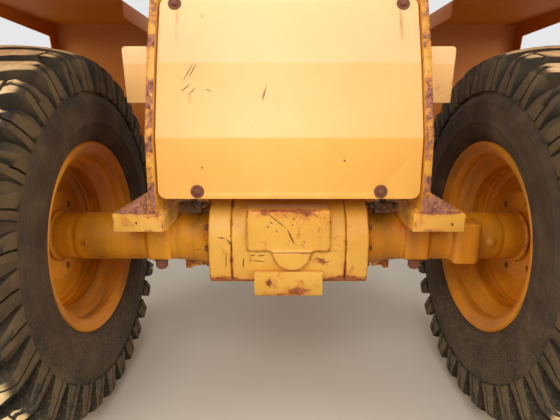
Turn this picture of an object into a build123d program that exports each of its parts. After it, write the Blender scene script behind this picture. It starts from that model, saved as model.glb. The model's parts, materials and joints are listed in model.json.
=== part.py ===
from build123d import *
import math
import os

os.makedirs("parts", exist_ok=True)

# Front frame section of a compact articulated wheel loader, in millimetres.
# X is to the right, the front of the machine faces -Y and +Z is up.
# The origin is the middle of the lower articulation bore.

# Places of the axle and of the two hinge plates
axle_behind_hinge = 900.0
axle_above_hinge = 80.0
hinge_spacing = 400.0
axle_y = -axle_behind_hinge
axle_z = axle_above_hinge

# Frame plates
plate_inside = 346.0
plate_thickness = 20.0
plate_outside = plate_inside + plate_thickness
weld_gap = 0.3
moving_gap = 6.0

# Cover in front
cover_edge_gap = 6.0
cover_thickness = 6.0
cover_recess = 6.0
cover_return = 26.0
cover_corner = 22.0
cover_bottom = 149.0
cover_top = 662.0
cover_tab_width = 46.0
cover_tab_thickness = 10.0
cover_bolt_radius = 6.5
cover_tab_gap = 14.0
cover_spacer_radius = 10.5

# Pads that sit on the axle
pad_bottom = 62.0
pad_height = 48.0
pad_top = pad_bottom + pad_height
pad_in = 327.0
pad_out = 461.0
pad_half_length = 168.0
rib_height = 56.0
rib_thickness = 18.0
pad_relief = 4.0

# Axle bolts
axle_bolt_radius = 12.0
axle_bolt_fit = 0.3
axle_bolt_spread = 116.0
axle_bolt_head = 18.0
axle_bolt_head_height = 20.0
axle_bolt_washer = 21.0
axle_bolt_washer_height = 4.0
axle_bolt_end = 5.0
bolt_cover = 8.0

# Axle
arm_radius = 72.0
arm_flange_radius = 106.0
arm_flange_thickness = 7.0
arm_flare_radius = 90.0
arm_end_radius = 70.0
arm_end_round = 6.0
arm_step = 632.0
arm_end = 696.0
boss_place = 374.0
boss_width = 70.0
boss_half_depth = 82.0
boss_bottom = -54.0
boss_round = 12.0
port_place = 514.0
port_width = 76.0
port_front = 94.0
port_low = -60.0
port_high = 62.0
plug_place = 590.0
plug_radius = 11.5
spindle_radius = 45.0
spindle_end = 821.0
drum_radius = 140.0
drum_half = 158.0
drum_ring_width = 63.0
drum_ring_gap = 0.3
drum_toe_front = 131.0
drum_toe_low = 98.0
front_face_half = 113.0
front_face_out = 150.0
front_face_high = 115.0
half_round_radius = 54.0
half_round_aside = 9.0
half_round_out = 156.0
foot_half = 95.0
foot_front = 146.0
foot_back = 62.0
foot_top = 60.0
foot_bottom = 126.0
pinion_nose_radius = 62.0
pinion_nose_start = drum_radius + 65.0
pinion_nose_end = pinion_nose_start + 95.0
pinion_bore_radius = 32.0
pinion_shaft_gap = 0.05
flange_radius = 62.0
flange_thickness = 14.0
flange_bolt_circle = 96.0
flange_bolt_count = 4
flange_bolt_radius = 5.5

# Wheels
wheel_plane = 741.0
rim_half = 165.0
bead_radius = 254.0
rim_lip_height = 32.0
rim_radius = bead_radius + rim_lip_height
rim_wall = 9.0
rim_curl = 24.0
ledge_radius = bead_radius - 14.0
well_radius = bead_radius - 30.0
disc_in = 719.0
disc_thickness = 14.0
disc_bore = 92.6
stud_circle = 226.0
stud_count = 6
stud_radius = 9.0
stud_hole_radius = 10.5
hub_flange_thickness = 17.5
hub_flange_radius = 134.0
stud_recess_radius = 11.5
stud_recess_depth = 8.0
hub_radius = 92.0
hub_out = 868.0
hub_cap_radius = 76.0
hub_cap_length = 16.0
running_gap = 0.05
spindle_end_gap = 5.0
tyre_section = 289.0
tyre_radius = bead_radius + tyre_section
tyre_half = 188.0
tread_half = 158.0
bead_gap = 1.0
tyre_wall = 48.0
tyre_crown_wall = 66.0
tread_depth = 30.0
tread_pitches = 34
tread_turn = 4.0
bar_width = 52.0
bar_middle_gap = 4.0

# Towers and their pins
tower_y = 170.0
tower_z = 950.0
tower_round = 78.0
boom_bore = 30.0
boom_boss_radius = 62.0
boom_boss_out = 30.0
lift_y = 110.0
lift_below_boom = 350.0
lift_z = tower_z - lift_below_boom
lift_bore = 25.0
lift_boss_radius = 48.0
lift_boss_out = 26.0
tube_y = 215.0
tube_z = 760.0
tube_radius = 44.0
tilt_lug_place = 45.0
tilt_lug_thickness = 20.0
tilt_bore = 22.0
tilt_y = tube_y - 92.0
tilt_z = tube_z + 46.0
tilt_access_radius = 30.0

# Hinge plates at the rear
bulkhead_y = 560.0
bulkhead_thickness = 20.0
bulkhead_low = -100.0
bulkhead_high = 340.0
hinge_plate_thickness = 36.0
hinge_boss_radius = 82.0
hinge_boss_height = 60.0
hinge_bore = 30.0
steer_bore = 18.0
steer_thickness = 24.0
steer_back = 48.0
steer_out = 42.0
steer_lug_radius = 34.0
window_half = 120.0
window_low = -40.0
window_high = 190.0

# Mudguards
guard_in = 520.0
guard_out = 930.0
guard_over_tyre = 161.0
guard_behind_tyre = 31.0
guard_top = tyre_radius + guard_over_tyre
guard_back = tyre_radius + guard_behind_tyre
guard_front = -330.0
guard_nose = -560.0
guard_nose_drop = 105.0
guard_low = 60.0
guard_sheet = 4.0
guard_skirt = 52.0
guard_skirt_front = 215.0
bracket_size = 50.0
low_bracket_z = 255.0
high_bracket_y = 60.0

# Small plates beside the towers
side_lug_out_top = 438.0
side_lug_out_low = 435.0
side_lug_low = 392.0
side_lug_high = 535.0
side_lug_corner = 10.0
side_lug_front = -62.0
side_lug_thickness = 12.0

# Planes: from the side at a given x, along the axle, and level through the axle
side_view = Plane(origin=(0, axle_y, axle_z), x_dir=(0, 1, 0), z_dir=(1, 0, 0))
axle_view = Plane(origin=(0, axle_y, axle_z), x_dir=(1, 0, 0), z_dir=(0, 0, 1))
front_view = Plane(origin=(0, axle_y, axle_z), x_dir=(1, 0, 0), z_dir=(0, -1, 0))
pinion_view = Plane(origin=(0, axle_y, axle_z), x_dir=(0, 1, 0), z_dir=(0, 0, 1))
axle_middle = (0, axle_y, axle_z)
axle_line = Axis(axle_middle, (1, 0, 0))
pinion_line = Axis((0, axle_y, axle_z), (0, 1, 0))


def front_view_at(y):
    # a plane that faces the front, y behind the axle
    return front_view.offset(-y)


# Front edge of the frame plates, from the pad up: y and z from the axle
front_edge = [
    (-167.0, cover_bottom - 39.0),
    (-155.0, 306.0),
    (-82.0, 523.0),
    (-27.0, 653.0),
    (88.0, 925.0),
]
rear_edge = [
    (tower_y + tower_round, tower_z),
    (300.0, 600.0),
    (430.0, 400.0),
    (bulkhead_y + bulkhead_thickness, 360.0),
    (bulkhead_y + bulkhead_thickness, -115.0),
    (240.0, -115.0),
    (pad_half_length + 22.0, -60.0),
    (pad_half_length + 22.0, pad_top),
]

# Side plate, right
with BuildPart() as side_plate_right:
    with BuildSketch(side_view.offset(plate_inside)) as side_outline:
        with BuildLine():
            Polyline(front_edge + rear_edge, close=True)
        make_face()
        with Locations((tower_y, tower_z)):
            Circle(tower_round)
    extrude(amount=plate_thickness)
    with BuildSketch(side_view.offset(plate_inside)):
        with Locations((tower_y, tower_z)):
            Circle(boom_boss_radius + weld_gap)
        with Locations((lift_y, lift_z)):
            Circle(lift_boss_radius + weld_gap)
        with Locations((tilt_y, tilt_z)):
            Circle(tilt_access_radius)
    extrude(amount=plate_thickness, mode=Mode.SUBTRACT)
side_plate_right.part.label = "side_plate_right"

with BuildPart() as side_plate_left:
    mirror(side_plate_right.part, about=Plane.YZ)
side_plate_left.part.label = "side_plate_left"

# Pin bosses through the side plates
boss_table = [
    # y, z, radius, bore, reach outside the plate
    (tower_y, tower_z, boom_boss_radius, boom_bore, boom_boss_out),
    (lift_y, lift_z, lift_boss_radius, lift_bore, lift_boss_out),
]
boss_parts = []
for boss_y, boss_z, boss_radius, boss_bore, boss_reach in boss_table:
    with BuildPart() as pin_boss:
        with BuildSketch(side_view.offset(plate_inside)):
            with Locations((boss_y, boss_z)):
                Circle(boss_radius)
                Circle(boss_bore, mode=Mode.SUBTRACT)
        extrude(amount=plate_thickness + boss_reach)
        outer_rim = pin_boss.faces().sort_by(Axis.X)[-1].edges()
        chamfer(outer_rim, 2.5)
    boss_parts.append(pin_boss.part)

with BuildPart() as boom_pivot_boss_right:
    add(boss_parts[0])
boom_pivot_boss_right.part.label = "boom_pivot_boss_right"

with BuildPart() as boom_pivot_boss_left:
    mirror(boss_parts[0], about=Plane.YZ)
boom_pivot_boss_left.part.label = "boom_pivot_boss_left"

with BuildPart() as lift_pivot_boss_right:
    add(boss_parts[1])
lift_pivot_boss_right.part.label = "lift_pivot_boss_right"

with BuildPart() as lift_pivot_boss_left:
    mirror(boss_parts[1], about=Plane.YZ)
lift_pivot_boss_left.part.label = "lift_pivot_boss_left"


def front_edge_y(z):
    # where the plates' front edge is at a height, from the axle
    for (y0, z0), (y1, z1) in zip(front_edge, front_edge[1:]):
        if z <= z1:
            return y0 + (y1 - y0) * (z - z0) / (z1 - z0)
    return front_edge[-1][0]


# Bent cover between the plates: its outer face, bottom to top
cover_half = plate_inside - cover_edge_gap
cover_bends = [cover_bottom, 306.0, 492.0, cover_top]
cover_face = [(front_edge_y(z) + cover_recess, z) for z in cover_bends]
cover_back = [(y + cover_thickness, z) for y, z in reversed(cover_face)]
cover_deep = [(y + cover_return, z) for y, z in reversed(cover_face)]
cover_middle = (cover_bottom + cover_top) / 2
with BuildPart() as cover_hollow:
    with BuildSketch(side_view.offset(-cover_half)):
        with BuildLine():
            Polyline(cover_back[::-1] + [(y + 60, z) for y, z in cover_back], close=True)
        make_face()
    extrude(amount=2 * cover_half)
    with BuildSketch(front_view_at(-400)):
        with Locations((0, cover_middle)):
            RectangleRounded(
                2 * (cover_half - cover_thickness),
                cover_top - cover_bottom - 2 * cover_thickness,
                cover_corner - cover_thickness,
            )
    extrude(amount=-700, mode=Mode.INTERSECT)

bolt_rows = [
    # distance from the middle, height over the axle
    (238.0, cover_bottom + 19.0),
    (301.0, cover_top - 17.0),
]
with BuildPart() as cover_panel:
    with BuildSketch(side_view.offset(-cover_half)):
        with BuildLine():
            Polyline(cover_face + cover_deep, close=True)
        make_face()
    extrude(amount=2 * cover_half)
    with BuildSketch(front_view_at(-400)):
        with Locations((0, cover_middle)):
            RectangleRounded(2 * cover_half, cover_top - cover_bottom, cover_corner)
    extrude(amount=-700, mode=Mode.INTERSECT)
    add(cover_hollow.part, mode=Mode.SUBTRACT)
    with BuildSketch(front_view_at(-400)):
        with Locations([(s * x, z) for x, z in bolt_rows for s in (-1, 1)]):
            Circle(cover_bolt_radius)
    extrude(amount=-700, mode=Mode.SUBTRACT)
cover_panel.part.label = "cover_panel"

# Tabs behind the cover, each with a spacer that its bolt goes through
cover_inner_line = [(y + weld_gap, z) for y, z in reversed(cover_back)]
cover_outer_line = [(y - 150.0, z) for y, z in cover_back]
with BuildPart() as cover_tabs:
    for bolt_x, bolt_z in bolt_rows:
        tab_front = front_edge_y(bolt_z) + cover_recess + cover_return + cover_tab_gap
        reach = plate_inside - bolt_x + cover_tab_width / 2
        with BuildSketch(front_view_at(tab_front)):
            with Locations((plate_inside - reach / 2, bolt_z)):
                Rectangle(reach, cover_tab_width)
        extrude(amount=-cover_tab_thickness)
        with BuildSketch(front_view_at(tab_front)):
            with Locations((bolt_x, bolt_z)):
                Circle(cover_spacer_radius)
        extrude(amount=cover_return + 2 * cover_tab_gap)
        with BuildSketch(front_view_at(tab_front + cover_tab_thickness)):
            with Locations((bolt_x, bolt_z)):
                Circle(cover_bolt_radius)
        extrude(amount=150.0, mode=Mode.SUBTRACT)
    with BuildSketch(side_view):
        with BuildLine():
            Polyline(cover_inner_line + cover_outer_line, close=True)
        make_face()
    extrude(amount=plate_inside, mode=Mode.SUBTRACT)
    mirror(about=Plane.YZ)
cover_tabs.part.label = "cover_tabs"

# Pads on the axle, with the rib on their outside
with BuildPart() as axle_pad_right:
    with BuildSketch(side_view.offset(pad_in)):
        with Locations((0, (pad_bottom + pad_top) / 2)):
            Rectangle(2 * pad_half_length, pad_height)
    extrude(amount=pad_out - pad_in)
    with BuildSketch(front_view_at(-pad_half_length)):
        with BuildLine():
            Polyline(
                (plate_outside + weld_gap, pad_top),
                (pad_out - 2, pad_top),
                (pad_out - 2, pad_top + 2),
                (plate_outside + weld_gap, pad_top + rib_height),
                close=True,
            )
        make_face()
    front_rib = extrude(amount=-rib_thickness)
    mirror(front_rib, about=front_view)
    with BuildSketch(axle_view.offset(pad_bottom)):
        with Locations((boss_place, -axle_bolt_spread / 2), (boss_place, axle_bolt_spread / 2)):
            Circle(axle_bolt_radius + axle_bolt_fit)
    extrude(amount=pad_height - bolt_cover, mode=Mode.SUBTRACT)
axle_pad_right.part.label = "axle_pad_right"

with BuildPart() as axle_pad_left:
    mirror(axle_pad_right.part, about=Plane.YZ)
axle_pad_left.part.label = "axle_pad_left"

# Members across the frame
with BuildPart() as front_cross_member:
    with BuildSketch(side_view.offset(-plate_inside)):
        with Locations((-50.0, cover_bottom + 60.0)):
            Rectangle(80.0, 90.0)
            Rectangle(64.0, 74.0, mode=Mode.SUBTRACT)
    extrude(amount=2 * plate_inside)
front_cross_member.part.label = "front_cross_member"

with BuildPart() as tower_cross_tube:
    with BuildSketch(side_view.offset(-plate_inside)):
        with Locations((tube_y, tube_z)):
            Circle(tube_radius)
            Circle(tube_radius - 8.0, mode=Mode.SUBTRACT)
    extrude(amount=2 * plate_inside)
tower_cross_tube.part.label = "tower_cross_tube"

with BuildPart() as tilt_cylinder_lugs:
    with BuildSketch(side_view.offset(tilt_lug_place)):
        with BuildLine():
            Polyline(
                (tube_y - 40.0, tube_z - 18.0),
                (tube_y - 118.0, tube_z + 28.0),
                (tube_y - 100.0, tube_z + 78.0),
                (tube_y + 30.0, tube_z + 40.0),
                close=True,
            )
        make_face()
        with Locations((tilt_y, tilt_z)):
            Circle(40.0)
            Circle(tilt_bore, mode=Mode.SUBTRACT)
        with Locations((tube_y, tube_z)):
            Circle(tube_radius + weld_gap, mode=Mode.SUBTRACT)
    extrude(amount=tilt_lug_thickness)
    mirror(about=Plane.YZ)
tilt_cylinder_lugs.part.label = "tilt_cylinder_lugs"

with BuildPart() as rear_bulkhead:
    with BuildSketch(side_view.offset(-plate_inside)):
        with Locations((bulkhead_y + bulkhead_thickness / 2, (bulkhead_low + bulkhead_high) / 2)):
            Rectangle(bulkhead_thickness, bulkhead_high - bulkhead_low)
    extrude(amount=2 * plate_inside)
    with BuildSketch(front_view_at(bulkhead_y)):
        with Locations((0, (window_low + window_high) / 2)):
            RectangleRounded(2 * window_half, window_high - window_low, 30.0)
    extrude(amount=-bulkhead_thickness, mode=Mode.SUBTRACT)
rear_bulkhead.part.label = "rear_bulkhead"

# Hinge plates: height over the origin
hinge_table = [
    # name, height of the bore's middle
    ("lower_hinge_plate", 0.0),
    ("upper_hinge_plate", hinge_spacing),
]
hinge_parts = []
for hinge_name, hinge_height in hinge_table:
    with BuildPart() as hinge_plate:
        with BuildSketch(Plane.XY.offset(hinge_height - hinge_plate_thickness / 2)):
            back_line = axle_y + bulkhead_y + bulkhead_thickness
            with BuildLine():
                Polyline(
                    (-250.0, back_line),
                    (250.0, back_line),
                    (hinge_boss_radius, -20.0),
                    (-hinge_boss_radius, -20.0),
                    close=True,
                )
            make_face()
            Circle(hinge_boss_radius)
        extrude(amount=hinge_plate_thickness)
        with BuildSketch(Plane.XY.offset(hinge_height - hinge_boss_height / 2)):
            Circle(hinge_boss_radius)
        extrude(amount=hinge_boss_height)
        with BuildSketch(Plane.XY.offset(hinge_height - hinge_boss_height / 2)):
            Circle(hinge_bore)
        extrude(amount=hinge_boss_height, mode=Mode.SUBTRACT)
    hinge_parts.append(hinge_plate.part)

with BuildPart() as lower_hinge_plate:
    add(hinge_parts[0])
lower_hinge_plate.part.label = "lower_hinge_plate"

with BuildPart() as upper_hinge_plate:
    add(hinge_parts[1])
upper_hinge_plate.part.label = "upper_hinge_plate"

# Lugs for the steering cylinders, outside the plates at the rear
with BuildPart() as steering_lug_right:
    with BuildSketch(axle_view.offset(40.0)):
        with BuildLine():
            Polyline(
                (plate_outside, bulkhead_y - 90.0),
                (plate_outside + steer_out + 4.0, bulkhead_y - 80.0),
                (plate_outside + steer_out + 4.0, bulkhead_y - 20.0),
                (plate_outside, bulkhead_y + 10.0),
                close=True,
            )
        make_face()
        with Locations((plate_outside + steer_out, bulkhead_y - steer_back)):
            Circle(steer_lug_radius)
            Circle(steer_bore, mode=Mode.SUBTRACT)
    extrude(amount=steer_thickness)
steering_lug_right.part.label = "steering_lug_right"

with BuildPart() as steering_lug_left:
    mirror(steering_lug_right.part, about=Plane.YZ)
steering_lug_left.part.label = "steering_lug_left"

# Small tapered plates beside the towers
with BuildPart() as side_lug_right:
    with BuildSketch(front_view_at(side_lug_front)):
        with BuildLine():
            Polyline(
                (plate_outside, side_lug_low),
                (side_lug_out_low, side_lug_low),
                (side_lug_out_top, side_lug_high),
                (plate_outside, side_lug_high),
                close=True,
            )
        make_face()
    extrude(amount=-side_lug_thickness)
    lug_corner = side_lug_right.edges().filter_by(Axis.Y).group_by(Axis.Z)[-1].sort_by(Axis.X)[-1]
    fillet(lug_corner, side_lug_corner)
side_lug_right.part.label = "side_lug_right"

with BuildPart() as side_lug_left:
    mirror(side_lug_right.part, about=Plane.YZ)
side_lug_left.part.label = "side_lug_left"

# Mudguards: top, nose and back wall from one bent sheet, with a skirt on each side
guard_path = [
    (guard_nose, guard_top - guard_nose_drop),
    (guard_front, guard_top),
    (guard_back, guard_top),
    (guard_back, guard_low),
]
with BuildPart() as mudguard_right:
    with BuildSketch(side_view.offset(guard_in)):
        with BuildLine():
            guard_line = Polyline(guard_path)
            offset(guard_line, amount=guard_sheet, side=Side.LEFT, kind=Kind.INTERSECTION)
        make_face()
    extrude(amount=guard_out - guard_in)
    skirt_table = [
        # x of the skirt, its front end, its drop at the front
        (guard_in, guard_skirt_front, 46.0),
        (guard_out - guard_sheet, guard_front, 14.0),
    ]
    for skirt_x, skirt_front, skirt_drop in skirt_table:
        with BuildSketch(side_view.offset(skirt_x)):
            with BuildLine():
                Polyline(
                    (skirt_front, guard_top),
                    (skirt_front, guard_top - skirt_drop),
                    (guard_back - guard_skirt, guard_top - guard_skirt),
                    (guard_back - 14.0, guard_low + 260.0),
                    (guard_back, guard_low + 260.0),
                    (guard_back, guard_top),
                    close=True,
                )
            make_face()
        extrude(amount=guard_sheet)
mudguard_right.part.label = "mudguard_right"

with BuildPart() as mudguard_left:
    mirror(mudguard_right.part, about=Plane.YZ)
mudguard_left.part.label = "mudguard_left"

bracket_table = [
    # y and z of the bar's middle from the axle, how far out it reaches
    (guard_back + guard_sheet + bracket_size / 2, low_bracket_z, 800.0),
    (high_bracket_y, guard_top + guard_sheet + bracket_size / 2, 640.0),
]
with BuildPart() as mudguard_brackets_right:
    for bar_y, bar_z, bar_out in bracket_table:
        with BuildSketch(side_view.offset(plate_outside)):
            with Locations((bar_y, bar_z)):
                Rectangle(bracket_size, bracket_size)
                Rectangle(bracket_size - 10.0, bracket_size - 10.0, mode=Mode.SUBTRACT)
        extrude(amount=bar_out - plate_outside)
    with BuildSketch(side_view.offset(plate_outside)):
        with Locations((bulkhead_y - 2.0, low_bracket_z)):
            Rectangle(2 * (guard_back + guard_sheet - bulkhead_y + 2.0), bracket_size)
    extrude(amount=12.0)
mudguard_brackets_right.part.label = "mudguard_brackets_right"

with BuildPart() as mudguard_brackets_left:
    mirror(mudguard_brackets_right.part, about=Plane.YZ)
mudguard_brackets_left.part.label = "mudguard_brackets_left"

# Lengths of the axle's drum: round, with a blunt toe low in front
ring_in = drum_half + drum_ring_gap
ring_out = drum_half + drum_ring_width
drum_table = [
    # name, x of its start, its length, how much it is larger
    ("housing", -drum_half, 2 * drum_half, 0.0),
    ("ring", ring_in, ring_out - ring_in, 0.0),
    ("room over the foot", -drum_half, 2 * drum_half, weld_gap),
]
drum_parts = []
for drum_name, drum_start, drum_length, drum_over in drum_table:
    with BuildPart() as drum_piece:
        with BuildSketch(side_view.offset(drum_start)):
            Circle(drum_radius + drum_over)
            drum_front = (-drum_radius - drum_over, 0)
            toe_front = (-drum_toe_front - drum_over, -drum_toe_low + 8.0)
            with BuildLine():
                TangentArc(drum_front, toe_front, tangent=(0, -1))
                Polyline(
                    toe_front,
                    (-drum_toe_front + 7.0, -drum_toe_low - drum_over),
                    (0, -drum_toe_low - drum_over),
                    (0, 0),
                    drum_front,
                )
            make_face()
        extrude(amount=drum_length)
    drum_parts.append(drum_piece.part)

# Axle: middle housing
with BuildPart() as axle_centre_housing:
    add(drum_parts[0])
    with BuildSketch(front_view):
        with Locations((0, front_face_high / 2)):
            Rectangle(2 * front_face_half, front_face_high)
    extrude(amount=front_face_out)
    with BuildSketch(front_view):
        with BuildLine():
            boss_arc = CenterArc((half_round_aside, 0), half_round_radius, 180, 180)
            Line(boss_arc @ 0, boss_arc @ 1)
        make_face()
    extrude(amount=half_round_out)
    with BuildSketch(pinion_view):
        with BuildLine():
            Polyline(
                (drum_radius - 40.0, 0),
                (drum_radius - 40.0, pinion_nose_radius + 50.0),
                (drum_radius + 10.0, pinion_nose_radius + 42.0),
                (pinion_nose_start, pinion_nose_radius + 4.0),
                (pinion_nose_start, 0),
                close=True,
            )
        make_face()
    revolve(axis=pinion_line)
axle_centre_housing.part.label = "axle_centre_housing"

# End rings of the housing
with BuildPart() as drum_ring_right:
    add(drum_parts[1])
drum_ring_right.part.label = "drum_ring_right"

with BuildPart() as drum_ring_left:
    mirror(drum_ring_right.part, about=Plane.YZ)
drum_ring_left.part.label = "drum_ring_left"

# Axle arm: outline along the axle as x and radius
arm_outline = [
    (ring_out, 0),
    (ring_out, arm_flange_radius),
    (ring_out + arm_flange_thickness, arm_flange_radius),
    (ring_out + arm_flange_thickness, arm_flare_radius),
    (ring_out + 40.0, arm_radius + 9.0),
    (ring_out + 80.0, arm_radius + 3.0),
    (ring_out + 120.0, arm_radius),
    (arm_step - 10.0, arm_radius),
    (arm_step - 6.0, arm_end_radius - 3.0),
    (arm_step, arm_end_radius - 3.0),
    (arm_step + 4.0, arm_end_radius),
    (arm_end - arm_end_round, arm_end_radius),
    (arm_end, arm_end_radius - arm_end_round),
    (arm_end, spindle_radius),
    (spindle_end, spindle_radius),
    (spindle_end, 0),
]
with BuildPart() as axle_arm_right:
    with BuildSketch(axle_view):
        with BuildLine():
            Polyline(arm_outline, close=True)
        make_face()
    revolve(axis=axle_line)
    with BuildSketch(side_view.offset(boss_place - boss_width / 2)):
        with Locations((0, (boss_bottom + pad_top) / 2)):
            RectangleRounded(2 * boss_half_depth, pad_top - boss_bottom, boss_round)
    extrude(amount=boss_width)
    with BuildSketch(axle_view.offset(port_low)):
        with Locations((port_place, -port_front / 2)):
            RectangleRounded(port_width, port_front, 16.0)
    extrude(amount=port_high - port_low)
    with BuildSketch(front_view):
        with Locations((plug_place, 0)):
            Circle(plug_radius)
    extrude(amount=arm_radius + 7.0)
    with BuildSketch(axle_view.offset(pad_bottom)):
        with Locations(((pad_in + pad_out) / 2, 0)):
            Rectangle(pad_out - pad_in + 2 * pad_relief, 4 * boss_half_depth)
    extrude(amount=2 * pad_height, mode=Mode.SUBTRACT)
    with BuildSketch(axle_view.offset(boss_bottom)):
        with Locations((boss_place, -axle_bolt_spread / 2), (boss_place, axle_bolt_spread / 2)):
            Circle(axle_bolt_radius + axle_bolt_fit)
    extrude(amount=pad_bottom - boss_bottom, mode=Mode.SUBTRACT)
    # spot faces for the washers, where the tube's round comes near them
    with BuildSketch(axle_view.offset(boss_bottom)):
        with Locations((boss_place, -axle_bolt_spread / 2), (boss_place, axle_bolt_spread / 2)):
            Circle(axle_bolt_washer + 1.0)
    extrude(amount=-arm_radius, mode=Mode.SUBTRACT)
axle_arm_right.part.label = "axle_arm_right"

# The left arm is the same casting turned half round
about_axle = Pos(0, axle_y, 0) * Rot(0, 0, 180) * Pos(0, -axle_y, 0)
turned_arm = about_axle * axle_arm_right.part
with BuildPart() as axle_arm_left:
    add(turned_arm)
axle_arm_left.part.label = "axle_arm_left"

# Bolts that hold the pads on the axle
with BuildPart() as axle_bolts:
    bolt_places = [(s * boss_place, t * axle_bolt_spread / 2) for s in (-1, 1) for t in (-1, 1)]
    nut_top = boss_bottom - axle_bolt_washer_height
    with BuildSketch(axle_view.offset(nut_top)):
        with Locations(bolt_places):
            Circle(axle_bolt_washer)
    extrude(amount=axle_bolt_washer_height)
    with BuildSketch(axle_view.offset(nut_top - axle_bolt_head_height)):
        with Locations(bolt_places):
            RegularPolygon(axle_bolt_head, 6)
    extrude(amount=axle_bolt_head_height)
    with BuildSketch(axle_view.offset(nut_top - axle_bolt_head_height - axle_bolt_end)):
        with Locations(bolt_places):
            Circle(axle_bolt_radius)
    extrude(amount=pad_top - bolt_cover - 4.0 - nut_top + axle_bolt_head_height + axle_bolt_end)
axle_bolts.part.label = "axle_bolts"

# Block under the front of the housing
with BuildPart() as jacking_foot:
    with BuildSketch(side_view.offset(-foot_half)):
        with BuildLine():
            Polyline(
                (-foot_front, -foot_top),
                (-foot_back, -foot_top),
                (-foot_back, -foot_bottom - 14.0),
                (-foot_front + 8.0, -foot_bottom - 10.0),
                (-foot_front, -foot_bottom),
                close=True,
            )
        make_face()
    extrude(amount=2 * foot_half)
    with BuildSketch(axle_view.offset(-foot_bottom - 26.0)):
        with Locations((-foot_half + 6.0, -foot_back - 20.0), (foot_half - 6.0, -foot_back - 20.0)):
            Rectangle(12.0, 40.0)
    extrude(amount=14.0)
    add(drum_parts[2], mode=Mode.SUBTRACT)
jacking_foot.part.label = "jacking_foot"

# Pinion carrier and the flange that turns in it
with BuildPart() as pinion_carrier:
    with BuildSketch(pinion_view):
        with BuildLine():
            Polyline(
                (pinion_nose_start, pinion_bore_radius),
                (pinion_nose_start, pinion_nose_radius + 22.0),
                (pinion_nose_start + 14.0, pinion_nose_radius + 22.0),
                (pinion_nose_start + 14.0, pinion_nose_radius),
                (pinion_nose_end, pinion_nose_radius - 8.0),
                (pinion_nose_end, pinion_bore_radius),
                close=True,
            )
        make_face()
    revolve(axis=pinion_line)
pinion_carrier.part.label = "pinion_carrier"

with BuildPart() as input_flange:
    with BuildSketch(pinion_view):
        flange_face = pinion_nose_end + moving_gap
        with BuildLine():
            Polyline(
                (pinion_nose_start + moving_gap, 0),
                (pinion_nose_start + moving_gap, pinion_bore_radius - pinion_shaft_gap),
                (flange_face, pinion_bore_radius - pinion_shaft_gap),
                (flange_face, flange_radius),
                (flange_face + flange_thickness, flange_radius),
                (flange_face + flange_thickness, 0),
                close=True,
            )
        make_face()
    revolve(axis=pinion_line)
    with BuildSketch(front_view_at(flange_face)):
        with PolarLocations(flange_bolt_circle / 2, flange_bolt_count, start_angle=45):
            Circle(flange_bolt_radius)
    extrude(amount=-flange_thickness, mode=Mode.SUBTRACT)
input_flange.part.label = "input_flange"

# Hub: turns on the arm's spindle
hub_in = disc_in - hub_flange_thickness
with BuildPart() as hub_right:
    with BuildSketch(axle_view):
        with BuildLine():
            Polyline(
                (hub_in, spindle_radius + running_gap),
                (hub_in, hub_flange_radius),
                (disc_in, hub_flange_radius),
                (disc_in, hub_radius),
                (hub_out - 12.0, hub_radius),
                (hub_out, hub_radius - 12.0),
                (hub_out, hub_cap_radius),
                (hub_out + hub_cap_length - 5.0, hub_cap_radius),
                (hub_out + hub_cap_length, hub_cap_radius - 8.0),
                (hub_out + hub_cap_length, 0),
                (spindle_end + spindle_end_gap, 0),
                (spindle_end + spindle_end_gap, spindle_radius + running_gap),
                close=True,
            )
        make_face()
    revolve(axis=axle_line)
    with BuildSketch(side_view.offset(hub_in)):
        with PolarLocations(stud_circle / 2, stud_count, start_angle=45):
            Circle(stud_recess_radius)
    extrude(amount=stud_recess_depth, mode=Mode.SUBTRACT)
    with BuildSketch(side_view.offset(disc_in)):
        with PolarLocations(stud_circle / 2, stud_count, start_angle=45):
            Circle(stud_radius)
    extrude(amount=disc_thickness + 34.0)
hub_right.part.label = "hub_right"

with BuildPart() as hub_left:
    mirror(hub_right.part, about=Plane.YZ)
hub_left.part.label = "hub_left"

# Rim: outside outline from the inner flange to the outer, as offset and radius
rim_half_outside = [
    # offset from the wheel's plane, radius: from the lip to the seat of the tyre's bead
    (rim_half, rim_radius - 5.0),
    (rim_half - 5.0, rim_radius),
    (rim_half - 10.0, rim_radius - 3.0),
    (rim_half - rim_curl + 5.0, bead_radius + 10.0),
    (rim_half - rim_curl, bead_radius + 3.0),
    (rim_half - rim_curl - 8.0, bead_radius),
]
rim_half_inside = [
    # the same on the side away from the tyre
    (rim_half, rim_radius - 10.0),
    (rim_half - 7.0, rim_radius - 21.0),
    (rim_half - 13.0, bead_radius + 1.0),
    (rim_half - 20.0, bead_radius - 5.0),
    (rim_half - rim_curl - 8.0, bead_radius - rim_wall),
]
rim_outside = (
    [(-u, r) for u, r in rim_half_outside]
    + [
        (-112.0, bead_radius - 2.0),
        (-96.0, ledge_radius - 2.0),
        (-76.0, well_radius),
        (48.0, well_radius),
        (66.0, ledge_radius),
        (104.0, bead_radius - 2.0),
    ]
    + rim_half_outside[::-1]
)
rim_inside = (
    rim_half_inside
    + [
        (108.0, bead_radius - rim_wall - 2.0),
        (70.0, ledge_radius - rim_wall),
        (50.0, well_radius - rim_wall),
        (-46.0, well_radius - rim_wall),
        (-80.0, well_radius - rim_wall),
        (-101.0, ledge_radius - rim_wall - 3.0),
        (-122.0, bead_radius - rim_wall - 1.0),
    ]
    + [(-u, r) for u, r in rim_half_inside[::-1]]
)
disc_edge = [
    # turned edge of the disc, seen in section: offset from the disc, radius from the well
    (-22.0, 1.0),
    (-22.0, -6.0),
    (-17.0, -9.0),
    (-9.0, -10.0),
    (0.5, -24.0),
    (2.0, 1.0),
]
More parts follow.
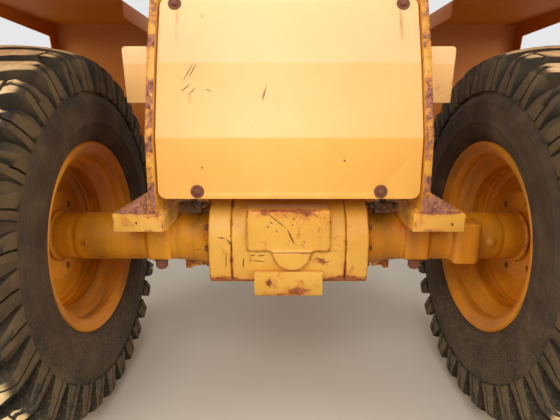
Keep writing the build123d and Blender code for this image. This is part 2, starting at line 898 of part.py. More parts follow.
with BuildPart() as rim_right:
    with BuildSketch(axle_view):
        with BuildLine():
            Polyline([(wheel_plane + u, r) for u, r in rim_outside + rim_inside], close=True)
        make_face()
    revolve(axis=axle_line)
    with BuildSketch(side_view.offset(disc_in)):
        Circle(well_radius - rim_wall + 2.0)
        Circle(disc_bore, mode=Mode.SUBTRACT)
        with PolarLocations(stud_circle / 2, stud_count, start_angle=45):
            Circle(stud_hole_radius, mode=Mode.SUBTRACT)
    extrude(amount=disc_thickness)
    with BuildSketch(axle_view):
        with BuildLine():
            Polyline([(disc_in + u, well_radius - rim_wall + r) for u, r in disc_edge], close=True)
        make_face()
    revolve(axis=axle_line)
rim_right.part.label = "rim_right"

with BuildPart() as rim_left:
    mirror(rim_right.part, about=Plane.YZ)
rim_left.part.label = "rim_left"

# Tyre: half section from the middle of the tread to the bead, as offset and radius
bead_in = rim_half - rim_curl - 8.0
carcass_radius = tyre_radius - tread_depth
tyre_outside = [
    (tread_half - 20.0, carcass_radius - 4.0),
    (tyre_half, bead_radius + 150.0),
    (tyre_half - 16.0, rim_radius + 12.0),
    (rim_half - 10.6, rim_radius - 1.8 + bead_gap),
    (bead_in + 0.5, bead_radius + weld_gap),
]
tyre_inside = [
    (bead_in - 26.0, bead_radius + weld_gap),
    (tyre_half - tyre_wall, carcass_radius - tyre_crown_wall),
]
half_section = tyre_outside + tyre_inside
other_half = [(-u, r) for u, r in reversed(half_section)]
tread_bar = [
    # from the middle of the tread over the shoulder and down the sidewall
    (bar_middle_gap, tyre_radius - 1.0),
    (tread_half - 30.0, tyre_radius - 4.0),
    (tread_half + 4.0, tyre_radius - 22.0),
    (tyre_half - 2.0, bead_radius + 172.0),
    (tyre_half - 14.0, bead_radius + 166.0),
    (tread_half - 40.0, carcass_radius - 26.0),
    (bar_middle_gap, carcass_radius - 12.0),
]
half_pitch = math.radians(180.0 / tread_pitches)

# One pitch of the tyre, between two planes through the axle line: the carcass, a bar on the
# inner side, and half a bar at each end on the outer side
with BuildPart() as tyre_pitch:
    with BuildSketch(axle_view):
        with BuildLine():
            Polyline([(wheel_plane + u, r) for u, r in half_section + other_half], close=True)
        make_face()
    extrude(amount=tyre_radius * math.tan(half_pitch), both=True)
    for side, turn in ((-1, 0.0), (1, half_pitch), (1, -half_pitch)):
        across = (0, -math.sin(turn), math.cos(turn))
        with BuildSketch(Plane(origin=axle_middle, x_dir=(1, 0, 0), z_dir=across)):
            with BuildLine():
                Polyline([(wheel_plane + side * u, r) for u, r in tread_bar], close=True)
            make_face()
        extrude(amount=bar_width / 2, both=True)
    for turn, kept in ((half_pitch, Keep.BOTTOM), (-half_pitch, Keep.TOP)):
        across = (0, -math.sin(turn), math.cos(turn))
        split(bisect_by=Plane(origin=axle_middle, x_dir=(1, 0, 0), z_dir=across), keep=kept)

pitches = [
    tyre_pitch.part.rotate(axle_line, 360.0 * n / tread_pitches - tread_turn)
    for n in range(tread_pitches)
]
with BuildPart() as tyre_right:
    add(pitches)
tyre_right.part.label = "tyre_right"

with BuildPart() as tyre_left:
    mirror(tyre_right.part, about=Plane.YZ)
tyre_left.part.label = "tyre_left"

pieces = [
    side_plate_right, side_plate_left,
    boom_pivot_boss_right, boom_pivot_boss_left,
    lift_pivot_boss_right, lift_pivot_boss_left,
    cover_panel, cover_tabs,
    axle_pad_right, axle_pad_left,
    front_cross_member, tower_cross_tube, tilt_cylinder_lugs,
    rear_bulkhead, lower_hinge_plate, upper_hinge_plate,
    steering_lug_right, steering_lug_left,
    side_lug_right, side_lug_left,
    mudguard_right, mudguard_left,
    mudguard_brackets_right, mudguard_brackets_left,
    axle_centre_housing, drum_ring_right, drum_ring_left,
    axle_arm_right, axle_arm_left, axle_bolts, jacking_foot,
    pinion_carrier, input_flange,
    hub_right, hub_left, rim_right, rim_left, tyre_right, tyre_left,
]
for piece in pieces:
    export_step(piece.part, f"parts/{piece.part.label}.step")
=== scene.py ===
# %% [markdown]
# # A wheel loader's front frame section
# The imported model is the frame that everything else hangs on: steel plates, a drive axle
# and two wheels, all in metres. This lesson dresses it. It starts with the camera, so that
# every later choice can be judged from the right place.

# %% Load the frame
import json
import math

import bmesh
import bpy
from mathutils import Matrix, Vector, noise
from mathutils.bvhtree import BVHTree
from mathutils.geometry import interpolate_bezier


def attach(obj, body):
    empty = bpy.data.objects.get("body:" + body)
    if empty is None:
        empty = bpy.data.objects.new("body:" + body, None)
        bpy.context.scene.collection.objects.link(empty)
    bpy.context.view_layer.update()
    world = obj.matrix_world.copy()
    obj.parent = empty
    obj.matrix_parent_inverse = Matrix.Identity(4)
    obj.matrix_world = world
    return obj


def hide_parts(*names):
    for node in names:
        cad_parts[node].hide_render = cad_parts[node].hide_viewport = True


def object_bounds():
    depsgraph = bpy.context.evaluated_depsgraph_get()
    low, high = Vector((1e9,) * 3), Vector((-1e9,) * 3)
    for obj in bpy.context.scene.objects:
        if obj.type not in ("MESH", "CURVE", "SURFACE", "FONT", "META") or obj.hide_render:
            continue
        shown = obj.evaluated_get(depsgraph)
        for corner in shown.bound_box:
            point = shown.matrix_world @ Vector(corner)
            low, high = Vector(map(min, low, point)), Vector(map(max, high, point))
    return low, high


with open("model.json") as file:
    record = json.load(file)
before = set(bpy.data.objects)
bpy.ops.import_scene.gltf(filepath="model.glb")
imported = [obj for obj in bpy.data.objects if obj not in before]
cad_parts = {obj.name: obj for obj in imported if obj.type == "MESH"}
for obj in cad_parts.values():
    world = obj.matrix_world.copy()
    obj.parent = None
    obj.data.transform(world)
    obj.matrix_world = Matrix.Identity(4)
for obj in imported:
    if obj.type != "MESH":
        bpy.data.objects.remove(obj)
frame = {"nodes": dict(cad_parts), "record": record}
cad_box = [list(corner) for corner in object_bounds()]
print("the CAD box runs from", cad_box[0], "to", cad_box[1])

# %% Where the axle is
AXLE_Y = -0.900
AXLE_Z = 0.080
WHEEL_PLANE = 0.741
FLOOR_Z = cad_box[0][2]
SIDES = {"right": 1, "left": -1}


def place(x, y, z):
    """A point given from the middle of the axle, in the row's frame."""
    return Vector((x, AXLE_Y + y, AXLE_Z + z))


def at(x, y, z):
    """The same in millimetres, as sizes are read off a drawing."""
    return place(x / 1000.0, y / 1000.0, z / 1000.0)


# %% [markdown]
# ## The camera
# A photograph taken from a little over a metre away has strong perspective, so the lens
# and the distance matter as much as the direction. The camera stands in front of the axle,
# a little above it, and looks down at it.

# %% Camera
CAMERA_BACK = 1.1998
CAMERA_UP = 0.3787
CAMERA_ASIDE = -0.0235
CAMERA_PITCH = 14.0
LENS = 26.29

camera_data = bpy.data.cameras.new("camera")
camera_data.lens = LENS
camera_data.sensor_width = 36.0
camera_data.clip_start = 0.05
camera = bpy.data.objects.new("camera", camera_data)
bpy.context.scene.collection.objects.link(camera)
camera.location = place(CAMERA_ASIDE, -CAMERA_BACK, CAMERA_UP)
camera.rotation_euler = (math.radians(90.0 - CAMERA_PITCH), 0.0, 0.0)
bpy.context.scene.camera = camera
bpy.context.scene.view_settings.view_transform = "Standard"

# %% [markdown]
# ## Node helpers
# A finish is a graph of small steps: noise, a threshold, a mix of two colours. One small
# class with a method for each step keeps those graphs short enough to read.


# %% Node helpers
class Finish:
    """A material and the few node steps that this object's finishes are made of."""

    def __init__(self, name, roughness=0.5, metallic=0.0):
        self.material = bpy.data.materials.new(name)
        self.material.use_nodes = True
        self.tree = self.material.node_tree
        self.shader = self.tree.nodes["Principled BSDF"]
        self.shader.inputs["Roughness"].default_value = roughness
        self.shader.inputs["Metallic"].default_value = metallic
        self.coords = self.node("ShaderNodeTexCoord").outputs["Object"]
        self.normal = self.coords.node.outputs["Normal"]

    def node(self, kind, settings=None, **sockets):
        made = self.tree.nodes.new(kind)
        for key, value in (settings or {}).items():
            setattr(made, key, value)
        for key, value in sockets.items():
            self.feed(made.inputs[key.replace("_", " ")], value)
        return made

    def feed(self, socket, value):
        if isinstance(value, bpy.types.NodeSocket):
            self.tree.links.new(value, socket)
        else:
            socket.default_value = value

    def number(self, operation, a, b=0.0, clamp=True):
        made = self.node("ShaderNodeMath", {"operation": operation, "use_clamp": clamp})
        self.feed(made.inputs[0], a)
        self.feed(made.inputs[1], b)
        return made.outputs[0]

    def stretched(self, scale, turn=(0, 0, 0)):
        """Object coordinates, stretched, for streaks and grain."""
        made = self.node("ShaderNodeMapping", Vector=self.coords, Scale=scale, Rotation=turn)
        return made.outputs["Vector"]

    def noise(self, scale, detail=4.0, rough=0.55, coords=None, distortion=0.0):
        made = self.node(
            "ShaderNodeTexNoise", Vector=coords or self.coords, Scale=scale, Detail=detail,
            Roughness=rough, Distortion=distortion,
        )
        return made.outputs["Fac"]

    def step(self, value, low, high, to_low=0.0, to_high=1.0):
        """0 below low, 1 above high, and a soft edge between them."""
        made = self.node("ShaderNodeMapRange", {"clamp": True}, Value=value)
        for key, number in (("From Min", low), ("From Max", high), ("To Min", to_low), ("To Max", to_high)):
            self.feed(made.inputs[key], number)
        return made.outputs["Result"]

    def mix(self, amount, a, b):
        """Colour a where amount is 0, colour b where it is 1."""
        made = self.node("ShaderNodeMix", {"data_type": "RGBA"})
        self.feed(made.inputs["Factor"], amount)
        self.feed(made.inputs[6], a)
        self.feed(made.inputs[7], b)
        return made.outputs[2]

    def spot(self, middle, reach, turn=0.0):
        """1 in the middle of an ellipsoid and 0 from its edge on. Sizes in mm, turned about Y."""
        near = self.node(
            "ShaderNodeMapping", {"vector_type": "TEXTURE"}, Vector=self.coords, Location=at(*middle),
            Rotation=(0.0, math.radians(turn), 0.0), Scale=[size / 1000.0 for size in reach],
        )
        length = self.node("ShaderNodeVectorMath", {"operation": "LENGTH"})
        self.feed(length.inputs[0], near.outputs["Vector"])
        return self.step(length.outputs["Value"], 1.0, 0.0)

    def spots(self, value, listed):
        """Adds a strength in each of the listed places, so that a threshold opens there."""
        for middle, reach, strength in listed:
            grown = self.number("MULTIPLY", self.spot(middle, reach), strength, clamp=False)
            value = self.number("ADD", value, grown, clamp=False)
        return value

    def strokes(self, listed):
        """Thin scratches in the XZ plane: from x, z to x, z, at a depth y, and how wide."""
        most = None
        for x0, z0, x1, z1, y, wide in listed:
            middle = ((x0 + x1) / 2, y, (z0 + z1) / 2)
            reach = (wide, 40.0, math.hypot(x1 - x0, z1 - z0) / 2 + wide)
            mark = self.step(self.spot(middle, reach, math.degrees(math.atan2(x1 - x0, z1 - z0))), 0.0, 0.35)
            most = mark if most is None else self.number("MAXIMUM", most, mark)
        return most

    def axis(self, vector, which):
        made = self.node("ShaderNodeSeparateXYZ", Vector=vector)
        return made.outputs[which]

    def bump(self, height, strength, distance):
        made = self.node("ShaderNodeBump", Strength=strength, Distance=distance, Height=height)
        self.feed(self.shader.inputs["Normal"], made.outputs["Normal"])

    def colour(self, value):
        self.feed(self.shader.inputs["Base Color"], value)

    def roughness(self, value):
        self.feed(self.shader.inputs["Roughness"], value)


def rgb(red, green, blue):
    """A colour as a paint chart gives it, 0 to 255, made linear for the shader."""
    parts = []
    for part in (red, green, blue):
        share = part / 255.0
        parts.append(share / 12.92 if share <= 0.04045 else ((share + 0.055) / 1.055) ** 2.4)
    return (*parts, 1.0)


# %% [markdown]
# ## Weathered paint
# The loader's yellow enamel has chipped down to primer and rusted, most of all on edges
# and where water stands. One recipe makes all its variants: paint that varies a little,
# rust where a noise passes a threshold, and a list of places where the noise is raised, so
# that the rust gathers there but keeps its ragged edge. Scratches are thin ellipsoids, and
# a dark wash over listed places is painted shade with some dirt.

# %% Weathered paint
RUST_DARK = rgb(92, 46, 34)
RUST_PALE = rgb(186, 124, 96)
RUST_ORANGE = rgb(190, 96, 26)
RUST_BROWN = (rgb(104, 50, 22), rgb(186, 104, 46))
SCRATCH = rgb(92, 50, 18)
# The pale colour below is that of a painted highlight.
PAINTED_HIGHLIGHT = rgb(255, 224, 182)
# The dark wash colour below serves both painted shade and dirt.
GRIME_AND_SHADE = rgb(92, 58, 16)
MUD_AND_SHADE = rgb(180, 98, 6)
WORN_EDGE = 0.004


def weathered(
    name, paint, deep, rust=0.68, rust_scale=14.0, roughness=0.42, edge=0.0, grain=0.3,
    places=(), scratches=(), stains=(), grime_and_shade=(), facing=None, painted_highlight_heights=(), bands=0.0, cast_edge=0.0,
    mud_and_shade=None, rust_tones=(RUST_DARK, RUST_PALE),
):
    """Enamel with rust. rust is the noise level above which it shows.

    places, stains and grime list (middle, reach, amount); grime is a dark wash of painted shade
    with some dirt. scratches are strokes. edge rusts sharp edges; cast_edge rusts a casting's round
    ones and darkens its hollows with painted shade and dirt. bleached lists (height, amount), with
    paler paint above each height as a painted highlight. bands are streaks of dirt.
    """
    finish = Finish(name, roughness)
    blotch = finish.noise(2.6, 5.0, 0.6)
    fine = finish.noise(46.0, 6.0, 0.65)
    chips = finish.noise(rust_scale, 9.0, 0.68, distortion=0.35)
    speck = finish.noise(150.0, 4.0, 0.6)
    runs = finish.noise(1.0, 5.0, 0.6, coords=finish.stretched((60.0, 60.0, 3.5)))
    painted = finish.mix(finish.step(blotch, 0.35, 0.7), paint, deep)
    painted = finish.mix(finish.step(fine, 0.58, 0.86, 0.0, 0.45), painted, deep)
    painted = finish.mix(finish.step(runs, 0.56, 0.82, 0.0, 0.4), painted, deep)
    # Paler paint above each given height is a painted highlight on faces that catch the sky.
    for height, amount in painted_highlight_heights:
        above = finish.step(finish.axis(finish.coords, 2), AXLE_Z + height - 0.003, AXLE_Z + height + 0.003)
        above = finish.number("MULTIPLY", above, finish.step(blotch, 0.3, 0.8, amount, 0.7 * amount))
        painted = finish.mix(above, painted, PAINTED_HIGHLIGHT)
    # Faces that a given test picks turn a deeper orange: painted shade, with some mud.
    if mud_and_shade is not None:
        painted = finish.mix(mud_and_shade(finish), painted, MUD_AND_SHADE)
    level = chips
    if edge:
        worn = finish.node("ShaderNodeBevel", {"samples": 4}, Radius=WORN_EDGE)
        flat = finish.node("ShaderNodeNewGeometry").outputs["Normal"]
        same = finish.node("ShaderNodeVectorMath", {"operation": "DOT_PRODUCT"})
        finish.feed(same.inputs[0], worn.outputs["Normal"])
        finish.feed(same.inputs[1], flat)
        turned = finish.step(same.outputs["Value"], 0.995, 0.86)
        level = finish.number("ADD", level, finish.number("MULTIPLY", turned, edge), clamp=False)
    if cast_edge:
        sharpness = finish.node("ShaderNodeNewGeometry").outputs["Pointiness"]
        level = finish.number("ADD", level, finish.step(sharpness, 0.51, 0.56, 0.0, cast_edge), clamp=False)
        # A casting's hollows are darkened: painted shade, mixed with dirt.
        painted = finish.mix(finish.step(sharpness, 0.485, 0.45, 0.0, 0.5), painted, GRIME_AND_SHADE)
    level = finish.spots(level, places)
    if facing is not None:
        level = finish.number("ADD", level, facing(finish), clamp=False)
    rusty = finish.step(level, rust, rust + 0.03)
    near_rust = finish.step(level, rust - 0.11, rust + 0.01, 0.0, 0.7)
    painted = finish.mix(near_rust, painted, RUST_ORANGE)
    for middle, reach, amount in stains:
        stain = finish.number("MULTIPLY", finish.spot(middle, reach), amount)
        stain = finish.number("MULTIPLY", stain, finish.step(runs, 0.3, 0.6))
        painted = finish.mix(stain, painted, RUST_ORANGE)
    # Each listed place gets a dark wash: painted shade, with some dirt.
    for middle, reach, amount in grime_and_shade:
        grime_and_shade_amount = finish.number("MULTIPLY", finish.spot(middle, reach), amount)
        grime_and_shade_amount = finish.number("MULTIPLY", grime_and_shade_amount, finish.step(chips, 0.3, 0.6, 0.7, 1.3))
        painted = finish.mix(grime_and_shade_amount, painted, GRIME_AND_SHADE)
    if bands:
        round_x = finish.noise(1.0, 5.0, 0.65, coords=finish.stretched((26.0, 3.0, 3.0)))
        painted = finish.mix(finish.step(round_x, 0.42, 0.68, 0.0, bands), painted, GRIME_AND_SHADE)
    painted = finish.mix(finish.step(speck, 0.735, 0.76, 0.0, 0.7), painted, SCRATCH)
    if scratches:
        scratched = finish.number("MULTIPLY", finish.strokes(scratches), finish.step(fine, 0.28, 0.44))
        painted = finish.mix(scratched, painted, SCRATCH)
    tone = finish.noise(58.0, 6.0, 0.75)
    rust_tone = finish.mix(finish.step(tone, 0.36, 0.64), *rust_tones)
    finish.colour(finish.mix(rusty, painted, rust_tone))
    finish.roughness(finish.step(rusty, 0.0, 1.0, roughness, 0.88))
    height = finish.number("MULTIPLY", rusty, -0.6, clamp=False)
    lumps = finish.number("MULTIPLY", fine, grain, clamp=False)
    finish.bump(finish.number("ADD", height, lumps, clamp=False), 0.5, 0.0012)
    return finish.material


def paired(listed):
    """The same places on the left, where x is the other way."""
    return list(listed) + [((-m[0], m[1], m[2]), *rest) for m, *rest in listed]


# %% Paint of the cover
cover_paint = weathered(
    "cover_enamel", rgb(246, 184, 94), rgb(240, 174, 76), rust=0.76, edge=0.07, grain=0.12, roughness=0.46,
    # The cover's upper faces, above these two heights, take a painted highlight.
    painted_highlight_heights=[(0.306, 0.26), (0.492, 0.34)],
    places=paired([((296, -22, 650), (30, 30, 30), 0.16), ((240, -158, 165), (26, 30, 24), 0.14)]),
    stains=paired([((293, -45, 590), (6, 80, 70), 0.75), ((240, -160, 150), (12, 30, 16), 0.8)])
    + [((-227, -38, 613), (5, 20, 7), 1.0), ((0, -160, 152), (340, 30, 7), 0.35)],
    scratches=[
        (-245, 494, -275, 441, -94, 1.5), (-237, 494, -260, 449, -94, 1.5), (-254, 439, -277, 419, -108, 1.6),
        (-239, 431, -259, 409, -110, 1.6), (-213, 426, -198, 419, -110, 1.8), (-57, 439, -69, 391, -112, 1.5),
        (-62, 425, -72, 398, -112, 1.1), (140, 250, 144, 246, -158, 2.2), (-226, 232, -222, 228, -158, 2.0),
    ],
)

# %% Paint of the frame plates
# Their front edges take the knocks. RUSTY_BANDS gives from and to which height above the
# axle they have rusted, in metres, and how much.
RUSTY_BANDS = [(-0.2, 0.214, 0.9), (0.250, 0.458, 1.0), (0.522, 0.566, 0.8), (0.588, 1.2, 0.7)]
BAND_BLUR = 0.009


def front_facing(finish):
    """1 on faces that look forwards."""
    return finish.step(finish.axis(finish.normal, 1), -0.5, -0.8)


def on_front_edges(finish):
    front = front_facing(finish)
    height = finish.axis(finish.coords, 2)
    most = None
    for bottom, top, strength in RUSTY_BANDS:
        band = finish.number(
            "MULTIPLY",
            finish.step(height, AXLE_Z + bottom - BAND_BLUR, AXLE_Z + bottom + BAND_BLUR),
            finish.step(height, AXLE_Z + top + BAND_BLUR, AXLE_Z + top - BAND_BLUR, 0.0, strength),
        )
        most = band if most is None else finish.number("MAXIMUM", most, band)
    return finish.number("MULTIPLY", finish.number("MULTIPLY", front, most), 0.19, clamp=False)


PLATE_YELLOW = rgb(232, 174, 64)
PLATE_DEEP = rgb(214, 148, 46)
plate_paint = weathered(
    "plate_enamel", PLATE_YELLOW, PLATE_DEEP, rust=0.645, rust_scale=34.0, edge=0.16, facing=on_front_edges,
    places=paired([((356, -160, 120), (30, 40, 60), 0.10), ((356, -90, 170), (40, 60, 20), 0.16)]),
)


def on_gussets(finish):
    front = front_facing(finish)
    above = finish.step(finish.axis(finish.coords, 2), AXLE_Z + 0.108, AXLE_Z + 0.114)
    return finish.number("MULTIPLY", finish.number("MULTIPLY", front, above), 0.24, clamp=False)


pad_paint = weathered(
    "pad_enamel", rgb(240, 184, 86), rgb(226, 160, 62), rust=0.66, rust_scale=26.0, edge=0.12, facing=on_gussets,
    places=paired([
        ((400, -168, 113), (62, 16, 9), 0.16), ((345, -168, 108), (16, 16, 26), 0.15),
        ((332, -168, 84), (7, 20, 26), 0.2), ((370, -168, 66), (24, 20, 8), 0.14),
        ((366, -150, 125), (18, 40, 40), 0.15),
    ]),
    stains=paired([((392, -168, 112), (66, 20, 13), 0.9), ((342, -168, 96), (12, 20, 32), 0.8)]),
    # The dark wash is painted shade under the cover, beside the pads.
    grime_and_shade=paired([((322, -100, 96), (30, 70, 50), 0.8)]),
    scratches=[(-401, 87, -400, 84, -168, 3.0), (428, 84, 429, 81, -168, 3.4)],
)

# %% Paint of the axle, the mudguards and the rims
# The housing is rusty along its upper edge, where water stands, and along its bottom; the
# orange along the bottom is also a painted shade that deepens downwards.
HOUSING_MARKS = [
    (-124, -1.5, 156, -1.5, -146, 1.4), (-61, 111, -5, 65, -150, 1.6), (-5, 65, 17, 19, -150, 2.4),
    (11, 95, 14, 89, -150, 2.4), (60, 110, 78, 96, -150, 1.4), (84, 66, 80, 58, -150, 2.2),
    (-196, 36, -170, 33, -135, 2.2), (-170, 33, -157, 14, -135, 2.2), (-157, 14, -155, -6, -140, 2.2),
    (-172, -3, -173, -53, -135, 1.9), (-123, -21, -126, -52, -140, 2.0), (-105, -14, -92, -14, -150, 2.0),
    (-86, -16, -66, -14, -150, 2.2), (-112, -28, -60, -34, -140, 1.4), (74, -22, 100, -30, -140, 3.2),
    (88, -36, 112, -34, -140, 1.6), (-50, 84, -44, 79, -150, 1.8), (-34, 60, -30, 55, -150, 1.6),
    (40, 30, 44, 26, -150, 1.6), (36, 22, 40, 14, -150, 1.4), (8, 78, 10, 74, -150, 2.0),
    (-58, 72, -54, 70, -150, 2.4), (-20, 108, 2, 92, -150, 1.0), (94, 96, 98, 92, -150, 1.8),
]
AXLE_YELLOW = rgb(230, 174, 72)
AXLE_DEEP = rgb(214, 146, 40)
housing_paint = weathered(
    "housing_enamel", AXLE_YELLOW, AXLE_DEEP, rust=0.675, rust_scale=26.0, edge=0.17, grain=0.7, roughness=0.5,
    rust_tones=RUST_BROWN, cast_edge=0.2,
    scratches=HOUSING_MARKS,
    # The stains low on the housing are rust and also a painted shade that deepens the orange downwards.
    stains=[
        ((0, -140, 112), (132, 40, 26), 1.0), ((0, -140, -118), (120, 40, 16), 0.9),
        ((0, -124, -98), (280, 60, 46), 1.0), ((0, -70, -128), (270, 80, 30), 0.9),
        ((-118, -140, 60), (10, 40, 60), 0.5),
    ],
    # The dark wash along the top is a painted shadow under the cover.
    grime_and_shade=[((0, -40, 150), (250, 150, 34), 0.7)],
    places=[
        ((0, -140, 121), (124, 40, 13), 0.42), ((50, -150, 106), (60, 20, 22), 0.26),
        ((-60, -150, 110), (60, 20, 16), 0.20), ((-119, -140, 97), (9, 30, 20), 0.36),
        ((16, -156, -2), (146, 30, 4.5), 0.17), ((-86, -150, -6), (30, 20, 8), 0.16),
        ((88, -140, -6), (34, 20, 10), 0.14), ((92, -140, -32), (36, 30, 18), 0.15),
        ((150, -120, -60), (40, 60, 60), 0.10), ((-162, -124, -97), (112, 44, 20), 0.62),
        ((162, -124, -97), (112, 44, 24), 0.66), ((-40, -146, -88), (60, 20, 8), 0.15),
        ((40, -146, -116), (62, 20, 19), 0.36), ((0, -146, -134), (110, 20, 12), 0.34),
        ((-88, -146, -80), (10, 20, 12), 0.26), ((-221, -100, -80), (8, 90, 70), 0.14),
        ((221, -60, -100), (10, 100, 60), 0.16), ((-158, -120, -60), (5, 60, 90), 0.12),
        ((158, -120, -50), (5, 60, 90), 0.16),
    ],
)
foot_paint = weathered(
    "foot_enamel", AXLE_YELLOW, AXLE_DEEP, rust=0.675, rust_scale=30.0, edge=0.17, grain=0.6, roughness=0.5,
    rust_tones=RUST_BROWN,
    places=[
        ((-56, -146, -92), (13, 30, 18), 0.26), ((26, -146, -118), (40, 20, 12), 0.44),
        ((58, -146, -112), (16, 20, 8), 0.2), ((0, -146, -130), (80, 20, 9), 0.30),
    ],
    stains=[((24, -146, -114), (46, 20, 18), 1.0), ((0, -146, -126), (80, 20, 10), 0.8)],
)
# The arms' deeper orange paint is painted shade: they sit under the pads and the cover.
axle_paint = weathered(
    "axle_enamel", rgb(222, 148, 10), rgb(198, 118, 4), rust=0.70, rust_scale=20.0, edge=0.13, grain=0.8,
    roughness=0.52, bands=0.3, rust_tones=RUST_BROWN, cast_edge=0.12,
    places=paired([
        ((374, -60, -56), (60, 60, 9), 0.20), ((300, -60, -70), (90, 60, 12), 0.14),
        ((236, -90, 0), (14, 60, 100), 0.10), ((290, -20, 80), (50, 70, 22), 0.16),
    ]),
    # The dark washes are painted shade with some grease: over each arm's root under the pad, under the arm and near
    # the wheel.
    grime_and_shade=paired([
        ((300, -60, -74), (120, 60, 24), 0.5), ((560, -60, -40), (50, 120, 110), 0.5),
        ((258, -60, 96), (64, 90, 90), 0.9),
    ]),
    scratches=[
        (300, -56, 332, -72, -60, 1.6), (-300, -62, -330, -70, -60, 1.6), (-262, -16, -258, -22, -80, 1.6),
    ],
)


def towards_the_wheel(finish):
    """A mudguard's faces that look down or forwards: painted shade, with some thrown mud."""
    level = finish.step(finish.axis(finish.normal, 2), 0.5, 0.2)
    return finish.number("MULTIPLY", level, finish.step(finish.axis(finish.normal, 1), 0.5, 0.2, 0.0, 0.85))


# The mudguards' undersides are a deeper orange: painted shade, with some mud.
guard_paint = weathered(
    "mudguard_enamel", rgb(236, 164, 44), rgb(222, 144, 28), rust=0.70, rust_scale=12.0, edge=0.09, grain=0.4,
    roughness=0.56, rust_tones=RUST_BROWN, mud_and_shade=towards_the_wheel,
    places=paired([((560, 572, 350), (60, 60, 300), 0.10), ((725, 0, 704), (200, 600, 16), 0.06)]),
)
# The rims' deeper orange paint is painted shade.
wheel_paint = weathered(
    "wheel_enamel", rgb(228, 146, 8), rgb(198, 112, 4), rust=0.715, rust_scale=20.0, edge=0.08, grain=0.4,
    roughness=0.5, bands=0.6, rust_tones=RUST_BROWN,
)

# %% Rusty steel of bolts and flanges
steel = Finish("rusty_steel", 0.7)
steel_tone = steel.mix(steel.noise(120.0, 6.0, 0.7), rgb(44, 22, 14), rgb(156, 90, 58))
steel.colour(steel_tone)
steel.bump(steel.noise(300.0), 0.4, 0.0006)
rusty_steel = steel.material

grease = Finish("greasy_dirt", 0.5)
clods = grease.noise(60.0, 6.0, 0.7)
grease.colour(grease.mix(grease.step(clods, 0.4, 0.7), rgb(58, 36, 18), rgb(158, 106, 46)))
grease.bump(clods, 0.7, 0.003)
greasy_dirt = grease.material

# %% [markdown]
# ## Rubber
# The tyres are old and dusty: dark brown-grey rubber, with pale sand rubbed into the tops
# of the bars. A face that looks straight away from the axle line, far enough out, is a bar's
# top. The bottoms of the grooves and the bars' flanks are painted near black, a painted shade.

# %% Rubber
RUBBER = rgb(42, 32, 20)
RUBBER_PALE = rgb(104, 84, 54)
RUBBER_SHADE = rgb(20, 16, 11)
DUST = rgb(128, 114, 76)
RUBBER_BROWN = rgb(58, 36, 20)
SAND = rgb(255, 222, 164)

rubber = Finish("dusty_rubber", 0.8)
from_axle = rubber.node("ShaderNodeVectorMath", {"operation": "SUBTRACT"})
rubber.feed(from_axle.inputs[0], rubber.coords)
from_axle.inputs[1].default_value = (0.0, AXLE_Y, AXLE_Z)
flattened = rubber.node("ShaderNodeVectorMath", {"operation": "MULTIPLY"})
rubber.feed(flattened.inputs[0], from_axle.outputs[0])
flattened.inputs[1].default_value = (0.0, 1.0, 1.0)
length = rubber.node("ShaderNodeVectorMath", {"operation": "LENGTH"})
rubber.feed(length.inputs[0], flattened.outputs[0])
outwards = rubber.node("ShaderNodeVectorMath", {"operation": "NORMALIZE"})
rubber.feed(outwards.inputs[0], flattened.outputs[0])
facing_out = rubber.node("ShaderNodeVectorMath", {"operation": "DOT_PRODUCT"})
rubber.feed(facing_out.inputs[0], outwards.outputs[0])
rubber.feed(facing_out.inputs[1], rubber.normal)
radius = length.outputs["Value"]
dusty = rubber.noise(9.0, 7.0, 0.65)
grime_and_shade = rubber.noise(34.0, 6.0, 0.7)
rings = rubber.noise(1.0, 5.0, 0.6, coords=rubber.stretched((30.0, 5.0, 5.0)))
rubber_tone = rubber.mix(rubber.step(dusty, 0.38, 0.72), RUBBER, RUBBER_PALE)
rubber_tone = rubber.mix(rubber.step(rings, 0.5, 0.75, 0.0, 0.5), rubber_tone, RUBBER_PALE)
# Groove floors and bar flanks turn near black: painted shade.
groove = rubber.number(
    "MULTIPLY", rubber.step(radius, 0.5145, 0.5105), rubber.step(facing_out.outputs["Value"], 0.35, 0.75)
)
sideways = rubber.number("ABSOLUTE", rubber.axis(rubber.normal, 0))
across = rubber.number("MAXIMUM", sideways, facing_out.outputs["Value"])
flank_shade = rubber.step(across, 0.72, 0.40, 0.0, 0.6)
rib = rubber.number(
    "MULTIPLY", rubber.step(radius, 0.418, 0.430), rubber.step(sideways, 0.75, 0.95, 0.0, 0.3)
)
wall = rubber.number(
    "MULTIPLY", rubber.step(radius, 0.425, 0.400), rubber.step(dusty, 0.3, 0.6, 0.85, 0.35)
)
rubber_tone = rubber.mix(rib, rubber_tone, RUBBER_PALE)
rubber_tone = rubber.mix(wall, rubber_tone, RUBBER_BROWN)
rubber_tone = rubber.mix(rubber.number("MAXIMUM", groove, flank_shade), rubber_tone, RUBBER_SHADE)
low_down = rubber.step(rubber.axis(rubber.coords, 2), AXLE_Z + 0.1, AXLE_Z - 0.36)
specks = rubber.step(rubber.noise(150.0, 4.0, 0.7), 0.52, 0.66, 0.0, 0.6)
dust = rubber.number("MULTIPLY", specks, low_down)
rubber_tone = rubber.mix(dust, rubber_tone, DUST)
top = rubber.number(
    "MULTIPLY", rubber.step(facing_out.outputs["Value"], 0.82, 0.95), rubber.step(radius, 0.512, 0.522)
)
top = rubber.number("MULTIPLY", top, rubber.step(grime_and_shade, 0.3, 0.6, 0.62, 1.0))
rubber.colour(rubber.mix(top, rubber_tone, SAND))
rubber.bump(rubber.noise(90.0, 7.0, 0.7), 0.5, 0.0015)
tyre_rubber = rubber.material

